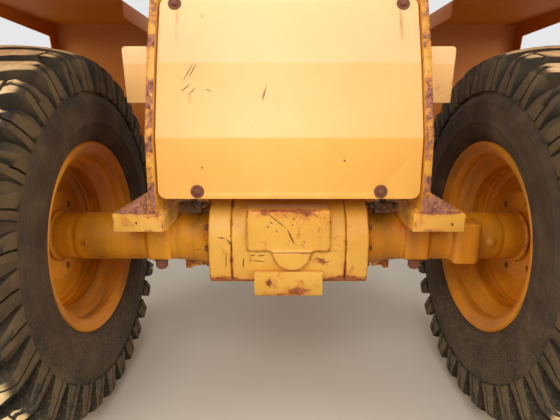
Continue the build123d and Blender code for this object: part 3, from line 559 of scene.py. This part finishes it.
# %% Finishes on the CAD nodes
FINISH_OF_SLOT = {
    "frame_paint": plate_paint,
    "cover_paint": cover_paint,
    "axle_paint": axle_paint,
    "guard_paint": guard_paint,
    "wheel_paint": wheel_paint,
    "worn_steel": rusty_steel,
    "tyre_rubber": tyre_rubber,
}
FINISH_OF_NODE = {
    "axle_centre_housing": housing_paint,
    "drum_ring_right": housing_paint,
    "drum_ring_left": housing_paint,
    "jacking_foot": foot_paint,
    "axle_pad_right": pad_paint,
    "axle_pad_left": pad_paint,
}
slot_of_node = {s["node"]: s["material_slot"] for s in frame["record"]["subparts"]}
for name, node in frame["nodes"].items():
    node.data.materials.clear()
    node.data.materials.append(FINISH_OF_NODE.get(name) or FINISH_OF_SLOT[slot_of_node[name]])
print("finishes set on", len(frame["nodes"]), "nodes")

# %% [markdown]
# ## Making a piece
# Every new piece is a bmesh that becomes one object at the origin, with its place in its
# mesh. One helper ends them all: it merges doubles when asked to, turns the faces outwards, keeps
# edges that turn sharply sharp, and says which body the piece rides on and whose finish it takes.


# %% Making a piece
def finished(name, mesh_in_making, body, slot, material=None, sharp=35.0, merge=0.0, instead_of=()):
    """Turns a bmesh into a piece of the object."""
    if merge:
        bmesh.ops.remove_doubles(mesh_in_making, verts=mesh_in_making.verts, dist=merge)
    bmesh.ops.recalc_face_normals(mesh_in_making, faces=mesh_in_making.faces)
    mesh = bpy.data.meshes.new(name)
    mesh_in_making.to_mesh(mesh)
    mesh_in_making.free()
    for face in mesh.polygons:
        face.use_smooth = True
    mesh.set_sharp_from_angle(angle=math.radians(sharp))
    mesh.materials.append(material or FINISH_OF_SLOT[slot])
    piece = bpy.data.objects.new(name, mesh)
    bpy.context.scene.collection.objects.link(piece)
    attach(piece, body)
    if instead_of:
        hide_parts(*instead_of)
    triangles = sum(len(face.vertices) - 2 for face in mesh.polygons)
    print(name, "has", triangles, "triangles")
    return piece


def outline(making, points):
    """One face from a list of points."""
    return making.faces.new([making.verts.new(point) for point in points])


def sharp_edges(making, angle=40.0):
    return [e for e in making.edges if len(e.link_faces) == 2 and e.calc_face_angle() > math.radians(angle)]


def softened(making, edges, width, segments=2):
    """Rounds edges as a casting's or a moulding's are round."""
    bmesh.ops.bevel(
        making, geom=edges, offset=width, offset_type="OFFSET", segments=segments, profile=0.5,
        affect="EDGES", clamp_overlap=True, material=-1,
    )


# %% [markdown]
# ## Tyres
# A loader's tyre is a smooth carcass with thick bars moulded on it. The carcass is spun from
# its section, and one bar is made and repeated round the axle. The bars of the two sides are
# half a pitch apart and meet in the middle. Over the shoulder each bar bends, spreads and
# runs down the sidewall as two ribs with a narrow slot between them.

# %% The carcass of a tyre
PITCHES = 34
PITCH = 2.0 * math.pi / PITCHES
# offset from the wheel's plane and radius, in millimetres, from the crown to the bead
CARCASS_OUTSIDE = [
    (0, 509), (60, 508.5), (104, 505), (130, 499), (148, 488), (160, 474), (168, 456), (173.5, 438),
    (178, 420), (182, 408), (185.4, 402), (187.2, 399), (187.4, 396), (186.6, 393), (187.6, 386),
    (187.7, 372), (187.4, 356), (186.6, 343), (187.4, 340.5), (187.2, 338), (185.6, 335.5),
    (183.6, 324), (181.0, 314), (177, 305), (171, 297.5), (163, 289.5), (155, 285), (149, 274),
    (143, 262), (137, 257.5),
]
CARCASS_INSIDE = [(112, 258), (116, 268), (130, 300), (158, 342), (166, 385), (150, 450), (118, 478), (0, 484)]
half_section = CARCASS_OUTSIDE + CARCASS_INSIDE
other_half = [(-u, r) for u, r in reversed(half_section[1:-1])]


def spun(making, profile, steps=136):
    """A closed section, given in mm from the wheel's middle, spun round the axle line."""
    ring = [making.verts.new((u / 1000.0, 0.0, r / 1000.0)) for u, r in profile]
    edges = [making.edges.new((a, b)) for a, b in zip(ring, ring[1:] + ring[:1])]
    bmesh.ops.spin(
        making, geom=ring + edges, cent=(0, 0, 0), axis=(1, 0, 0), angle=2.0 * math.pi,
        steps=steps, use_merge=True,
    )


# %% The section of a bar
# Offset from the wheel's plane, radius, how far the bar is swept back there, and how far it
# reaches above and below its slot, all in millimetres.
BAR = [
    (22, 541.2, 125, 28, 28), (-20, 541.4, 105, 30, 30), (-61, 540.2, 82, 31, 31),
    (-101, 536.2, 55, 31, 31), (-121, 532.4, 43, 29, 29), (-138.5, 528.6, 29, 25.5, 25.5),
    (-143.5, 527.2, 25, 25, 25), (-153, 523.8, 13, 21, 29), (-162, 520.5, 12, 19.5, 26),
    (-172, 515.5, 12, 23.5, 18), (-179, 508.5, 11, 25, 16.5), (-182, 499.5, 10, 27, 16),
    (-184, 480, 6, 31, 19), (-185.4, 455, 1, 35, 22), (-186.4, 431, 0, 40.5, 23),
    (-185, 425, 0, 40, 22.5), (-174, 420.5, 0, 40, 22.5), (-160, 440, 0, 36, 22),
    (-148, 478, 10, 33, 27), (-110, 497, 55, 34, 34), (-60, 500, 82, 36, 36), (28, 500, 125, 32, 32),
]
# Half the slot's width, its depth, and the two low corners that a notched bar has more.
SLOT = 2.6
SLOT_DEPTH = 13.0
NOTCH_AFTER = 5
NOTCH = [(-138.9, 518, 29, 25.5, 25.5), (-143.1, 517, 25, 25, 25)]


def bar_block(notched):
    """A bar laid out flat: its section stands across Y, and the slot is a strip of its own."""
    section = BAR[:NOTCH_AFTER + 1] + (NOTCH if notched else []) + BAR[NOTCH_AFTER + 1:]
    making = bmesh.new()
    layers = [making.verts.layers.float.new(name) for name in ("sweep", "above", "below")]
    corners = []
    for u, r, *rest in section:
        corner = making.verts.new((u, 0.0, r))
        for layer, value in zip(layers, rest):
            corner[layer] = value
        corners.append(corner)
    face = making.faces.new(corners)
    for row in (1, 2, 3):
        grown = bmesh.ops.extrude_face_region(making, geom=[face], use_keep_orig=(row == 1))
        face = next(f for f in grown["geom"] if isinstance(f, bmesh.types.BMFace))
        bmesh.ops.translate(making, verts=face.verts, vec=(0, 1.0, 0))
    for vertex in making.verts:
        row = round(vertex.co.y)
        vertex.co.y = (-vertex[layers[2]], -SLOT, SLOT, vertex[layers[1]])[row]
    bmesh.ops.recalc_face_normals(making, faces=making.faces)
    return making, layers[0]


def sunk(making, faces, depth):
    """Pushes a strip of faces straight into the rubber, which leaves a groove."""
    inwards = Vector()
    for face in faces:
        inwards -= face.normal * face.calc_area()
    grown = bmesh.ops.extrude_face_region(making, geom=faces)
    inner = [g for g in grown["geom"] if isinstance(g, bmesh.types.BMVert)]
    bmesh.ops.translate(making, verts=inner, vec=inwards.normalized() * depth)
    bmesh.ops.delete(making, geom=faces, context="FACES")


def tread_bar(slot_on_crown):
    """One bar. Every second one has a cut across it in place of the slot's upper end."""
    making, sweep = bar_block(notched=not slot_on_crown)
    top_of_slot = -153.2 if slot_on_crown else -183.0
    slot = []
    for face in making.faces:
        middle = face.calc_center_median()
        outside = face.normal.x < -0.2 or face.normal.z > 0.5
        if outside and abs(middle.y) < 2.0 and middle.x < top_of_slot and middle.z > 422:
            slot.append(face)
    sunk(making, slot, SLOT_DEPTH)
    softened(making, sharp_edges(making, 32.0), 1.9, 2)
    bmesh.ops.triangulate(making, faces=[f for f in making.faces if len(f.verts) > 4])
    return making, sweep


def laid_on_wheel(making, sweep, turn):
    """Bends a flat bar round the axle and sweeps it back, in metres."""
    for vertex in making.verts:
        u, s, r = vertex.co
        angle = turn + (s - vertex[sweep]) / r
        vertex.co = Vector((u, -r * math.cos(angle), r * math.sin(angle))) / 1000.0


# %% Both tyres
# Without a seed, noise_vector's values differ from run to run.
TREAD_SEED = 1
noise.seed_set(TREAD_SEED)

SLOT_ANGLE = {"right": math.radians(1.5), "left": math.radians(2.9)}
TYRE_REACH = 0.5420


def treaded_tyre(side_name):
    sign = SIDES[side_name]
    tread = bmesh.new()
    for outer in (0, 1):
        for place_in_pair in (0, 1):
            bar, sweep = tread_bar(place_in_pair == 0)
            laid_on_wheel(bar, sweep, SLOT_ANGLE[side_name] + (place_in_pair + 0.5 * outer) * PITCH)
            if outer:
                bmesh.ops.scale(bar, verts=bar.verts, vec=(-1, 0.9993, 0.9993))
            bmesh.ops.recalc_face_normals(bar, faces=bar.faces)
            one = bpy.data.meshes.new("bar")
            bar.to_mesh(one)
            bar.free()
            tread.from_mesh(one)
            bpy.data.meshes.remove(one)
    pairs = PITCHES // 2
    bmesh.ops.spin(
        tread, geom=tread.verts[:] + tread.edges[:] + tread.faces[:], cent=(0, 0, 0),
        axis=(1, 0, 0), angle=2.0 * math.pi * (pairs - 1) / pairs, steps=pairs - 1,
        use_duplicate=True,
    )
    for vertex in tread.verts:
        vertex.co += noise.noise_vector(vertex.co * 31.0) * 0.0012
        reach = math.hypot(vertex.co.y, vertex.co.z)
        if reach > TYRE_REACH:
            vertex.co.yz *= TYRE_REACH / reach
    spun(tread, half_section + other_half)
    if sign < 0:
        bmesh.ops.scale(tread, verts=tread.verts, vec=(-1, 1, 1))
    bmesh.ops.translate(tread, verts=tread.verts, vec=place(sign * WHEEL_PLANE, 0, 0))
    return finished(
        f"tyre_{side_name}_treaded", tread, f"wheel_{side_name}", "tyre_rubber", instead_of=(f"tyre_{side_name}",)
    )


for side_name in SIDES:
    treaded_tyre(side_name)

# %% [markdown]
# ## Steel plates
# Flame-cut plates and folded sheet have no razor edges: paint and wear round them off, and
# a round edge catches the light. So the plates named below are copied, their triangles are
# joined into whole faces, and their edges are bevelled by one or two millimetres. The folds
# of the cover and the mudguards get a wider, softer bevel.


# %% Worn plates
def copied(name):
    """A CAD node's mesh with its doubles merged, in the row's frame."""
    node = frame["nodes"][name]
    making = bmesh.new()
    making.from_mesh(node.data)
    bmesh.ops.transform(making, matrix=node.matrix_world, verts=making.verts)
    bmesh.ops.remove_doubles(making, verts=making.verts, dist=1e-5)
    return making


def worn(name, width, fold=0.0):
    """A plate's copy with worn edges, and soft folds if fold gives their width."""
    making = copied(name)
    bmesh.ops.dissolve_limit(
        making, angle_limit=math.radians(0.6), verts=making.verts, edges=making.edges, use_dissolve_boundaries=False
    )
    if fold:
        folds = [
            e for e in making.edges
            if len(e.link_faces) == 2 and e.calc_length() > 0.3 and 0.03 < e.calc_face_angle() < 1.0
        ]
        softened(making, folds, fold, 4)
    softened(making, sharp_edges(making, 50.0), width)
    bmesh.ops.triangulate(making, faces=[f for f in making.faces if len(f.verts) > 4])
    return finished(
        f"{name}_worn", making, "front_frame", slot_of_node[name], FINISH_OF_NODE.get(name),
        instead_of=(name,),
    )


for side_name in SIDES:
    worn(f"side_plate_{side_name}", 0.0016)
    worn(f"axle_pad_{side_name}", 0.0020)
    worn(f"side_lug_{side_name}", 0.0014)
    worn(f"mudguard_{side_name}", 0.0009, fold=0.006)
worn("cover_panel", 0.0014, fold=0.007)
worn("jacking_foot", 0.0022)
worn("front_cross_member", 0.0020)
worn("rear_bulkhead", 0.0020)

# %% [markdown]
# ## Castings
# The axle's arms, housing and end rings are sand castings. Where two forms meet there is a
# fillet, and no corner is crisp. Bevels can't follow such joints, so each copy is remeshed
# to an even skin and smoothed until its corners and joints are a few millimetres round.
# A slow ripple of a few tenths of a millimetre is left by the sand. The spindle past each
# arm's end is drawn in a little, so that it stays clear of the hub.


# %% Castings
SPINDLE_FROM = 0.697
DRAWN_IN = 0.985


def cast(name, voxel=0.0036, rounds=7, skin=0.0004, bearing=None):
    """A casting in place of its CAD node. Past bearing, along X, it is drawn in to run free."""
    making = copied(name)
    rough = bpy.data.meshes.new(name + "_rough")
    making.to_mesh(rough)
    making.free()
    lump = bpy.data.objects.new(name + "_rough", rough)
    bpy.context.scene.collection.objects.link(lump)
    even = lump.modifiers.new("even", "REMESH")
    even.mode = "VOXEL"
    even.voxel_size = voxel
    making = bmesh.new()
    making.from_object(lump, bpy.context.evaluated_depsgraph_get())
    bpy.data.objects.remove(lump)
    bpy.data.meshes.remove(rough)
    for _ in range(rounds):
        bmesh.ops.smooth_vert(
            making, verts=making.verts, factor=0.5, use_axis_x=True, use_axis_y=True, use_axis_z=True
        )
    making.normal_update()
    for vertex in making.verts:
        vertex.co += vertex.normal * (noise.noise(vertex.co * 55.0) - 0.4) * skin
        if bearing and abs(vertex.co.x) > bearing:
            vertex.co.y = AXLE_Y + (vertex.co.y - AXLE_Y) * DRAWN_IN
            vertex.co.z = AXLE_Z + (vertex.co.z - AXLE_Z) * DRAWN_IN
    return finished(
        f"{name}_cast", making, "front_frame", "axle_paint", FINISH_OF_NODE.get(name), sharp=60.0,
        instead_of=(name,),
    )


for side_name in SIDES:
    cast(f"axle_arm_{side_name}", bearing=SPINDLE_FROM)
    cast(f"drum_ring_{side_name}", rounds=4)
cast("axle_centre_housing", rounds=5)

# %% [markdown]
# ## Bolts, nuts and studs
# Turned shapes come from a half-section that is spun about its own axis. A bolt is such a
# shape with a six-sided prism on it. Where a bolt sits on a sloping face, a line cast onto
# the CAD node finds the place and the direction.


# %% Turned shapes
def joined(making, part, centre=None, direction=None):
    """Adds a part; one that was made upright at the origin is first moved to its place."""
    if direction is not None:
        turn = Vector(direction).to_track_quat("Z", "Y").to_matrix().to_4x4()
        bmesh.ops.transform(part, matrix=Matrix.Translation(centre) @ turn, verts=part.verts)
    bmesh.ops.recalc_face_normals(part, faces=part.faces)
    carrier = bpy.data.meshes.new("part")
    part.to_mesh(carrier)
    part.free()
    making.from_mesh(carrier)
    bpy.data.meshes.remove(carrier)


def turned(making, profile, centre, direction, steps=28):
    """Spins a half-section of (radius, height) in mm and stands it on a point."""
    part = bmesh.new()
    ring = [part.verts.new((r / 1000.0, 0.0, h / 1000.0)) for r, h in profile]
    edges = [part.edges.new(pair) for pair in zip(ring, ring[1:])]
    bmesh.ops.spin(
        part, geom=ring + edges, cent=(0, 0, 0), axis=(0, 0, 1), angle=2.0 * math.pi, steps=steps, use_merge=True
    )
    bmesh.ops.remove_doubles(part, verts=part.verts, dist=1e-6)
    joined(making, part, centre, direction)


def hexagon(making, radius, low, high, centre, direction, roll=0.0):
    """A six-sided head with its top corners worn off, sizes in mm."""
    part = bmesh.new()
    matrix = Matrix.Translation((0, 0, (low + high) / 2000.0)) @ Matrix.Rotation(roll, 4, "Z")
    bmesh.ops.create_cone(
        part, cap_ends=True, segments=6, radius1=radius / 1000.0, radius2=radius / 1000.0,
        depth=(high - low) / 1000.0, matrix=matrix,
    )
    rim = [e for e in part.edges if all(v.co.z > (high - 0.1) / 1000.0 for v in e.verts)]
    softened(part, rim, radius * 0.00009, 2)
    joined(making, part, centre, direction)


def touched(name, start, direction):
    """Where a line meets a CAD node, and which way the surface faces there."""
    making = copied(name)
    point, normal, _, _ = BVHTree.FromBMesh(making).ray_cast(start, Vector(direction))
    making.free()
    return point, normal


# %% Bolts of the cover
COVER_BOLTS = [(238, 168), (-238, 168), (301, 645), (-301, 645)]
WASHER = [(0, 0), (17.5, 0), (17.5, 1.8), (16.6, 2.6), (9.4, 2.6)]
DOME = [(9.4, 7.0), (8.8, 9.4), (7.0, 11.4), (4.0, 12.7), (0, 13.1)]
cover_bolts = bmesh.new()
for x, z in COVER_BOLTS:
    beside, normal = touched("cover_panel", at(x + 12, -400, z), (0, 1, 0))
    level = normal.cross((1, 0, 0)).normalized()
    centre = beside + Vector((-0.012, 0, 0))
    wobble = Vector((noise.noise(Vector((x, z, 1))), 0, noise.noise(Vector((x, z, 5))))) * 0.06
    turned(cover_bolts, WASHER + DOME, centre - normal * 0.0002, normal + wobble, 36)
finished("cover_bolt_heads", cover_bolts, "front_frame", "worn_steel")

# %% Bolts round the arms' flanges
FLANGE_BOLTS = 10
FLANGE_BOLT_CIRCLE = 97.6
FLANGE_FACE = 228
flange_bolts = bmesh.new()
for side_name, sign in SIDES.items():
    for k in range(FLANGE_BOLTS):
        angle = math.radians(31.0 + 36.0 * k)
        aside, up = -FLANGE_BOLT_CIRCLE * math.cos(angle), FLANGE_BOLT_CIRCLE * math.sin(angle)
        centre = at(sign * FLANGE_FACE, aside, up)
        turned(flange_bolts, [(0, -0.5), (9.4, -0.5), (9.4, 1.4), (0, 1.4)], centre, (sign, 0, 0), 20)
        hexagon(flange_bolts, 8.0, 1.0, 9.5, centre, (sign, 0, 0), roll=k * 1.3)
finished("arm_flange_bolts", flange_bolts, "front_frame", "worn_steel")

# %% Nuts, studs and caps of the wheels
# Radii of the circles, and how far the faces are from the middle, in mm.
STUD_CIRCLE = 113.0
DISC_FACE = 733
STUD_END = 709.2
CAP_FACE = 883.8
CAP_BOLT_CIRCLE = 55.0
CONE = [(0, 0), (15, 0), (20.5, 5.5), (20.5, 8.0), (0, 8.0)]
for side_name, sign in SIDES.items():
    nuts = bmesh.new()
    for k in range(6):
        angle = math.radians(45.0 + 60.0 * k)
        centre = at(sign * DISC_FACE, STUD_CIRCLE * math.cos(angle), STUD_CIRCLE * math.sin(angle))
        turned(nuts, CONE, centre, (sign, 0, 0))
        hexagon(nuts, 18.0, 7.5, 27.0, centre, (sign, 0, 0), roll=k * 0.9)
        inner_end = at(sign * STUD_END, STUD_CIRCLE * math.cos(angle), STUD_CIRCLE * math.sin(angle))
        turned(nuts, [(0, 0), (9.6, 0), (9.6, 4.2), (7.8, 6.0), (0, 6.0)], inner_end, (-sign, 0, 0))
    for k in range(8):
        angle = math.radians(45.0 * k + 11.0)
        centre = at(sign * CAP_FACE, CAP_BOLT_CIRCLE * math.cos(angle), CAP_BOLT_CIRCLE * math.sin(angle))
        hexagon(nuts, 7.6, 0.0, 6.0, centre, (sign, 0, 0), roll=k * 0.7)
    turned(nuts, [(0, 0), (13, 0), (13, 3), (9, 4), (9, 8), (0, 8)], at(sign * CAP_FACE, 0, 0), (sign, 0, 0))
    finished(f"wheel_nuts_{side_name}", nuts, f"wheel_{side_name}", "worn_steel")

# %% [markdown]
# ## Welds, pipes and hoses
# All of these are round bars that follow a line: a weld is a bar whose thickness ripples,
# a hose is a thick smooth one. One helper rolls a grid up round the line, so that each
# piece has a regular mesh and its ends are closed.


# %% Bars that follow a line
def bar_along(making, path, thickness, sides=9, step=0.0022):
    """path is in mm from the axle; thickness tells the radius in metres at a distance."""
    path = [at(*point) for point in path]
    reach = [0.0]
    for a, b in zip(path, path[1:]):
        reach.append(reach[-1] + (b - a).length)
    rows = max(3, round(reach[-1] / step))
    part = bmesh.new()
    bmesh.ops.create_grid(part, x_segments=rows + 2, y_segments=sides, size=0.5)
    for vertex in part.verts:
        row = round((vertex.co.x + 0.5) * (rows + 2))
        distance = reach[-1] * min(max(row - 1, 0), rows) / rows
        k = max(i for i in range(len(path) - 1) if reach[i] <= distance + 1e-9)
        along = (path[k + 1] - path[k]).normalized()
        aside = along.cross((0.13, 0.22, 1.0)).normalized()
        turn = 2.0 * math.pi * (vertex.co.y + 0.5)
        radius = 0.0 if row in (0, rows + 2) else thickness(distance)
        ring = (aside * math.cos(turn) + aside.cross(along) * math.sin(turn)) * radius
        vertex.co = path[k] + along * (distance - reach[k]) + ring
    bmesh.ops.remove_doubles(part, verts=part.verts, dist=1e-6)
    joined(making, part)


def arc(x, y, z, radius, first=0.0, last=360.0, points=49):
    """Points on a circle about a line along X, in mm; 0 degrees looks backwards."""
    turns = [math.radians(first + (last - first) * k / (points - 1)) for k in range(points)]
    return [(x, y + radius * math.cos(t), z + radius * math.sin(t)) for t in turns]


def ripple(radius, seed):
    """The thickness of a hand-laid weld at a distance along it."""
    def thickness(s):
        lump = noise.noise(Vector((s * 60.0, seed, 0.5)))
        return radius * (0.92 + 0.14 * math.sin(s * 1500.0) + 0.25 * lump)

    return thickness


# %% Welds
WELDS = [
    ([(368, -150, 111), (368, 150, 111)], 0.0050),
    ([(344, -160, 111), (344, 160, 111)], 0.0045),
    ([(368, -149, 112), (368, -149, 160)], 0.0035),
    ([(367.5, -63, 394), (367.5, -63, 534)], 0.0035),
    ([(367.5, -49, 394), (367.5, -49, 534)], 0.0035),
    ([(344, -91, 166), (344, -91, 252)], 0.0042),
    ([(344, 559, -90), (344, 559, 330)], 0.0055),
    (arc(367, 170, 950, 62.5), 0.0045),
    (arc(367, 110, 600, 48.5), 0.0042),
    (arc(344.5, 215, 760, 44.5), 0.0045),
]
for side_name, sign in SIDES.items():
    welds = bmesh.new()
    for number, (path, radius) in enumerate(WELDS):
        bar_along(welds, [(sign * x, y, z) for x, y, z in path], ripple(radius, number + sign))
    finished(f"frame_welds_{side_name}", welds, "front_frame", "frame_paint", pad_paint)

# %% Brake fittings, hoses and the tabs under the arms
def hose(start, lean_start, lean_end, end, points=24):
    corners = [Vector(c) for c in (start, lean_start, lean_end, end)]
    return [tuple(p) for p in interpolate_bezier(*corners, points)]


TABS = {
    "left": [(-317, -78), (-317, -106), (-300, -108), (-293, -100), (-252, -96), (-250, -90), (-292, -78)],
    "right": [(262, -78), (262, -100), (292, -97), (300, -107), (315, -105), (315, -78)],
}
# Four control points of each hose's curve, its straight end, its radius in m and its sides.
HOSES = [
    ([(276, -34, 122), (276, -34, 170), (330, 20, 150), (338, 60, 190)], [], 0.0085, 14),
    ([(240, -34, 102), (222, -36, 112), (214, -34, 118), (196, -20, 141)], [], 0.0050, 10),
    ([(314, -34, 101), (322, -20, 104), (318, 60, 100), (318, 88, 82)], [(318, 96, 20)], 0.0045, 10),
]
SEAL = [(69.5, 0), (75, 1.5), (77.5, 5), (77.5, 9), (69.5, 9), (69.5, 0)]
PLUG = [(0, -2), (9.2, -2), (9.2, 1.6), (7.6, 2.6), (5.4, 2.8), (5.0, 1.2), (0, 1.2)]
for side_name, sign in SIDES.items():
    fittings = bmesh.new()
    block = Matrix.Translation(at(sign * 276, -34, 98)) @ Matrix.Diagonal((0.052, 0.034, 0.030, 1.0))
    bmesh.ops.create_cube(fittings, size=1.0, matrix=block)
    softened(fittings, sharp_edges(fittings), 0.004, 2)
    for x, z, aside, up in ((250, 100, -1, 0.2), (302, 100, 1, 0.1), (276, 112, 0, 1)):
        hexagon(fittings, 10.5, -1.0, 13.0, at(sign * x, -34, z), (sign * aside, 0, up))
    hexagon(fittings, 9.0, 0.0, 9.0, at(sign * 276, -50.5, 98), (0, -1, 0), roll=0.4)
    for corners, tail, radius, sides in HOSES:
        path = hose(*[(sign * x, y, z) for x, y, z in corners]) + [(sign * x, y, z) for x, y, z in tail]
        bar_along(fittings, path, lambda s, radius=radius: radius, sides, 0.004)
    finished(f"brake_fittings_{side_name}", fittings, "front_frame", "worn_steel", greasy_dirt)

    tab = bmesh.new()
    face = outline(tab, [at(x, -3, z) for x, z in TABS[side_name]])
    grown = bmesh.ops.extrude_face_region(tab, geom=[face], use_keep_orig=True)
    moved = [g for g in grown["geom"] if isinstance(g, bmesh.types.BMVert)]
    bmesh.ops.translate(tab, verts=moved, vec=(0, 0.008, 0))
    bmesh.ops.recalc_face_normals(tab, faces=tab.faces)
    softened(tab, sharp_edges(tab), 0.0015, 2)
    finished(f"arm_tab_{side_name}", tab, "front_frame", "axle_paint", housing_paint)

    seal = bmesh.new()
    turned(seal, SEAL, at(sign * 685, 0, 0), (sign, 0, 0), 64)
    turned(seal, PLUG, at(sign * 590, -73.2, 0), (0, -1, 0), 32)
    finished(f"seal_and_plug_{side_name}", seal, "front_frame", "axle_paint", axle_paint)

    valve = bmesh.new()
    stem = [(sign * 806, 0, 228), (sign * 826, 0, 222), (sign * 846, 0, 216)]
    bar_along(valve, stem, lambda s: 0.0075 if s < 0.014 else 0.0050, 14, 0.004)
    finished(f"valve_{side_name}", valve, f"wheel_{side_name}", "tyre_rubber", greasy_dirt)

# %% [markdown]
# ## Floor and light
# A plain pale floor and plain soft light: a bright sky dome, one wide lamp above and in
# front, and a weaker wide one on each side.

# %% Floor
FLOOR_SIZE = 60.0

floor_finish = Finish("pale_floor", 0.9)
floor_finish.colour(rgb(214, 204, 188))
bpy.ops.mesh.primitive_plane_add(size=FLOOR_SIZE, location=(0.0, AXLE_Y, FLOOR_Z))
floor = bpy.context.object
floor.name = "floor"
floor.data.materials.append(floor_finish.material)

# %% Light
# The sky that lights is bright overhead and dim at the horizon; the sky that the camera
# and the reflections see is an even pale one.
SKY_ABOVE = 0.62
SKY_LEVEL = 0.13

world = bpy.data.worlds.new("sky")
bpy.context.scene.world = world
world.use_nodes = True
sky = world.node_tree
background = sky.nodes["Background"]
background.inputs["Color"].default_value = (1.0, 0.985, 0.955, 1.0)
direction = sky.nodes.new("ShaderNodeTexCoord").outputs["Generated"]
upwards = sky.nodes.new("ShaderNodeSeparateXYZ")
height = sky.nodes.new("ShaderNodeMapRange")
for key, number in (("From Min", 0.0), ("From Max", 0.8), ("To Min", SKY_LEVEL), ("To Max", SKY_ABOVE)):
    height.inputs[key].default_value = number
seen = sky.nodes.new("ShaderNodeBackground")
seen.inputs["Strength"].default_value = 1.0
path = sky.nodes.new("ShaderNodeLightPath")
either = sky.nodes.new("ShaderNodeMath")
either.operation = "MAXIMUM"
choose = sky.nodes.new("ShaderNodeMixShader")
sky.links.new(direction, upwards.inputs[0])
sky.links.new(upwards.outputs["Z"], height.inputs["Value"])
sky.links.new(height.outputs["Result"], background.inputs["Strength"])
sky.links.new(path.outputs["Is Camera Ray"], either.inputs[0])
sky.links.new(path.outputs["Is Glossy Ray"], either.inputs[1])
sky.links.new(either.outputs[0], choose.inputs[0])
sky.links.new(background.outputs[0], choose.inputs[1])
sky.links.new(seen.outputs[0], choose.inputs[2])
sky.links.new(choose.outputs[0], sky.nodes["World Output"].inputs["Surface"])


def soft_lamp(name, size, energy, location, target):
    data = bpy.data.lights.new(name, "AREA")
    data.shape = "DISK"
    data.size = size
    data.energy = energy
    data.color = (1.0, 0.985, 0.95)
    data.specular_factor = 0.45
    lamp = bpy.data.objects.new(name, data)
    bpy.context.scene.collection.objects.link(lamp)
    lamp.location = location
    lamp.rotation_euler = (target - lamp.location).to_track_quat("-Z", "Y").to_euler()


soft_lamp("high_front_lamp", 3.4, 152.0, place(-0.5, -4.2, 3.2), place(0.0, 0.0, 0.1))
for side_name, sign in SIDES.items():
    soft_lamp(f"side_lamp_{side_name}", 2.2, 74.0, place(sign * 3.6, -2.2, 1.5), place(sign * 0.74, -0.2, 0.4))
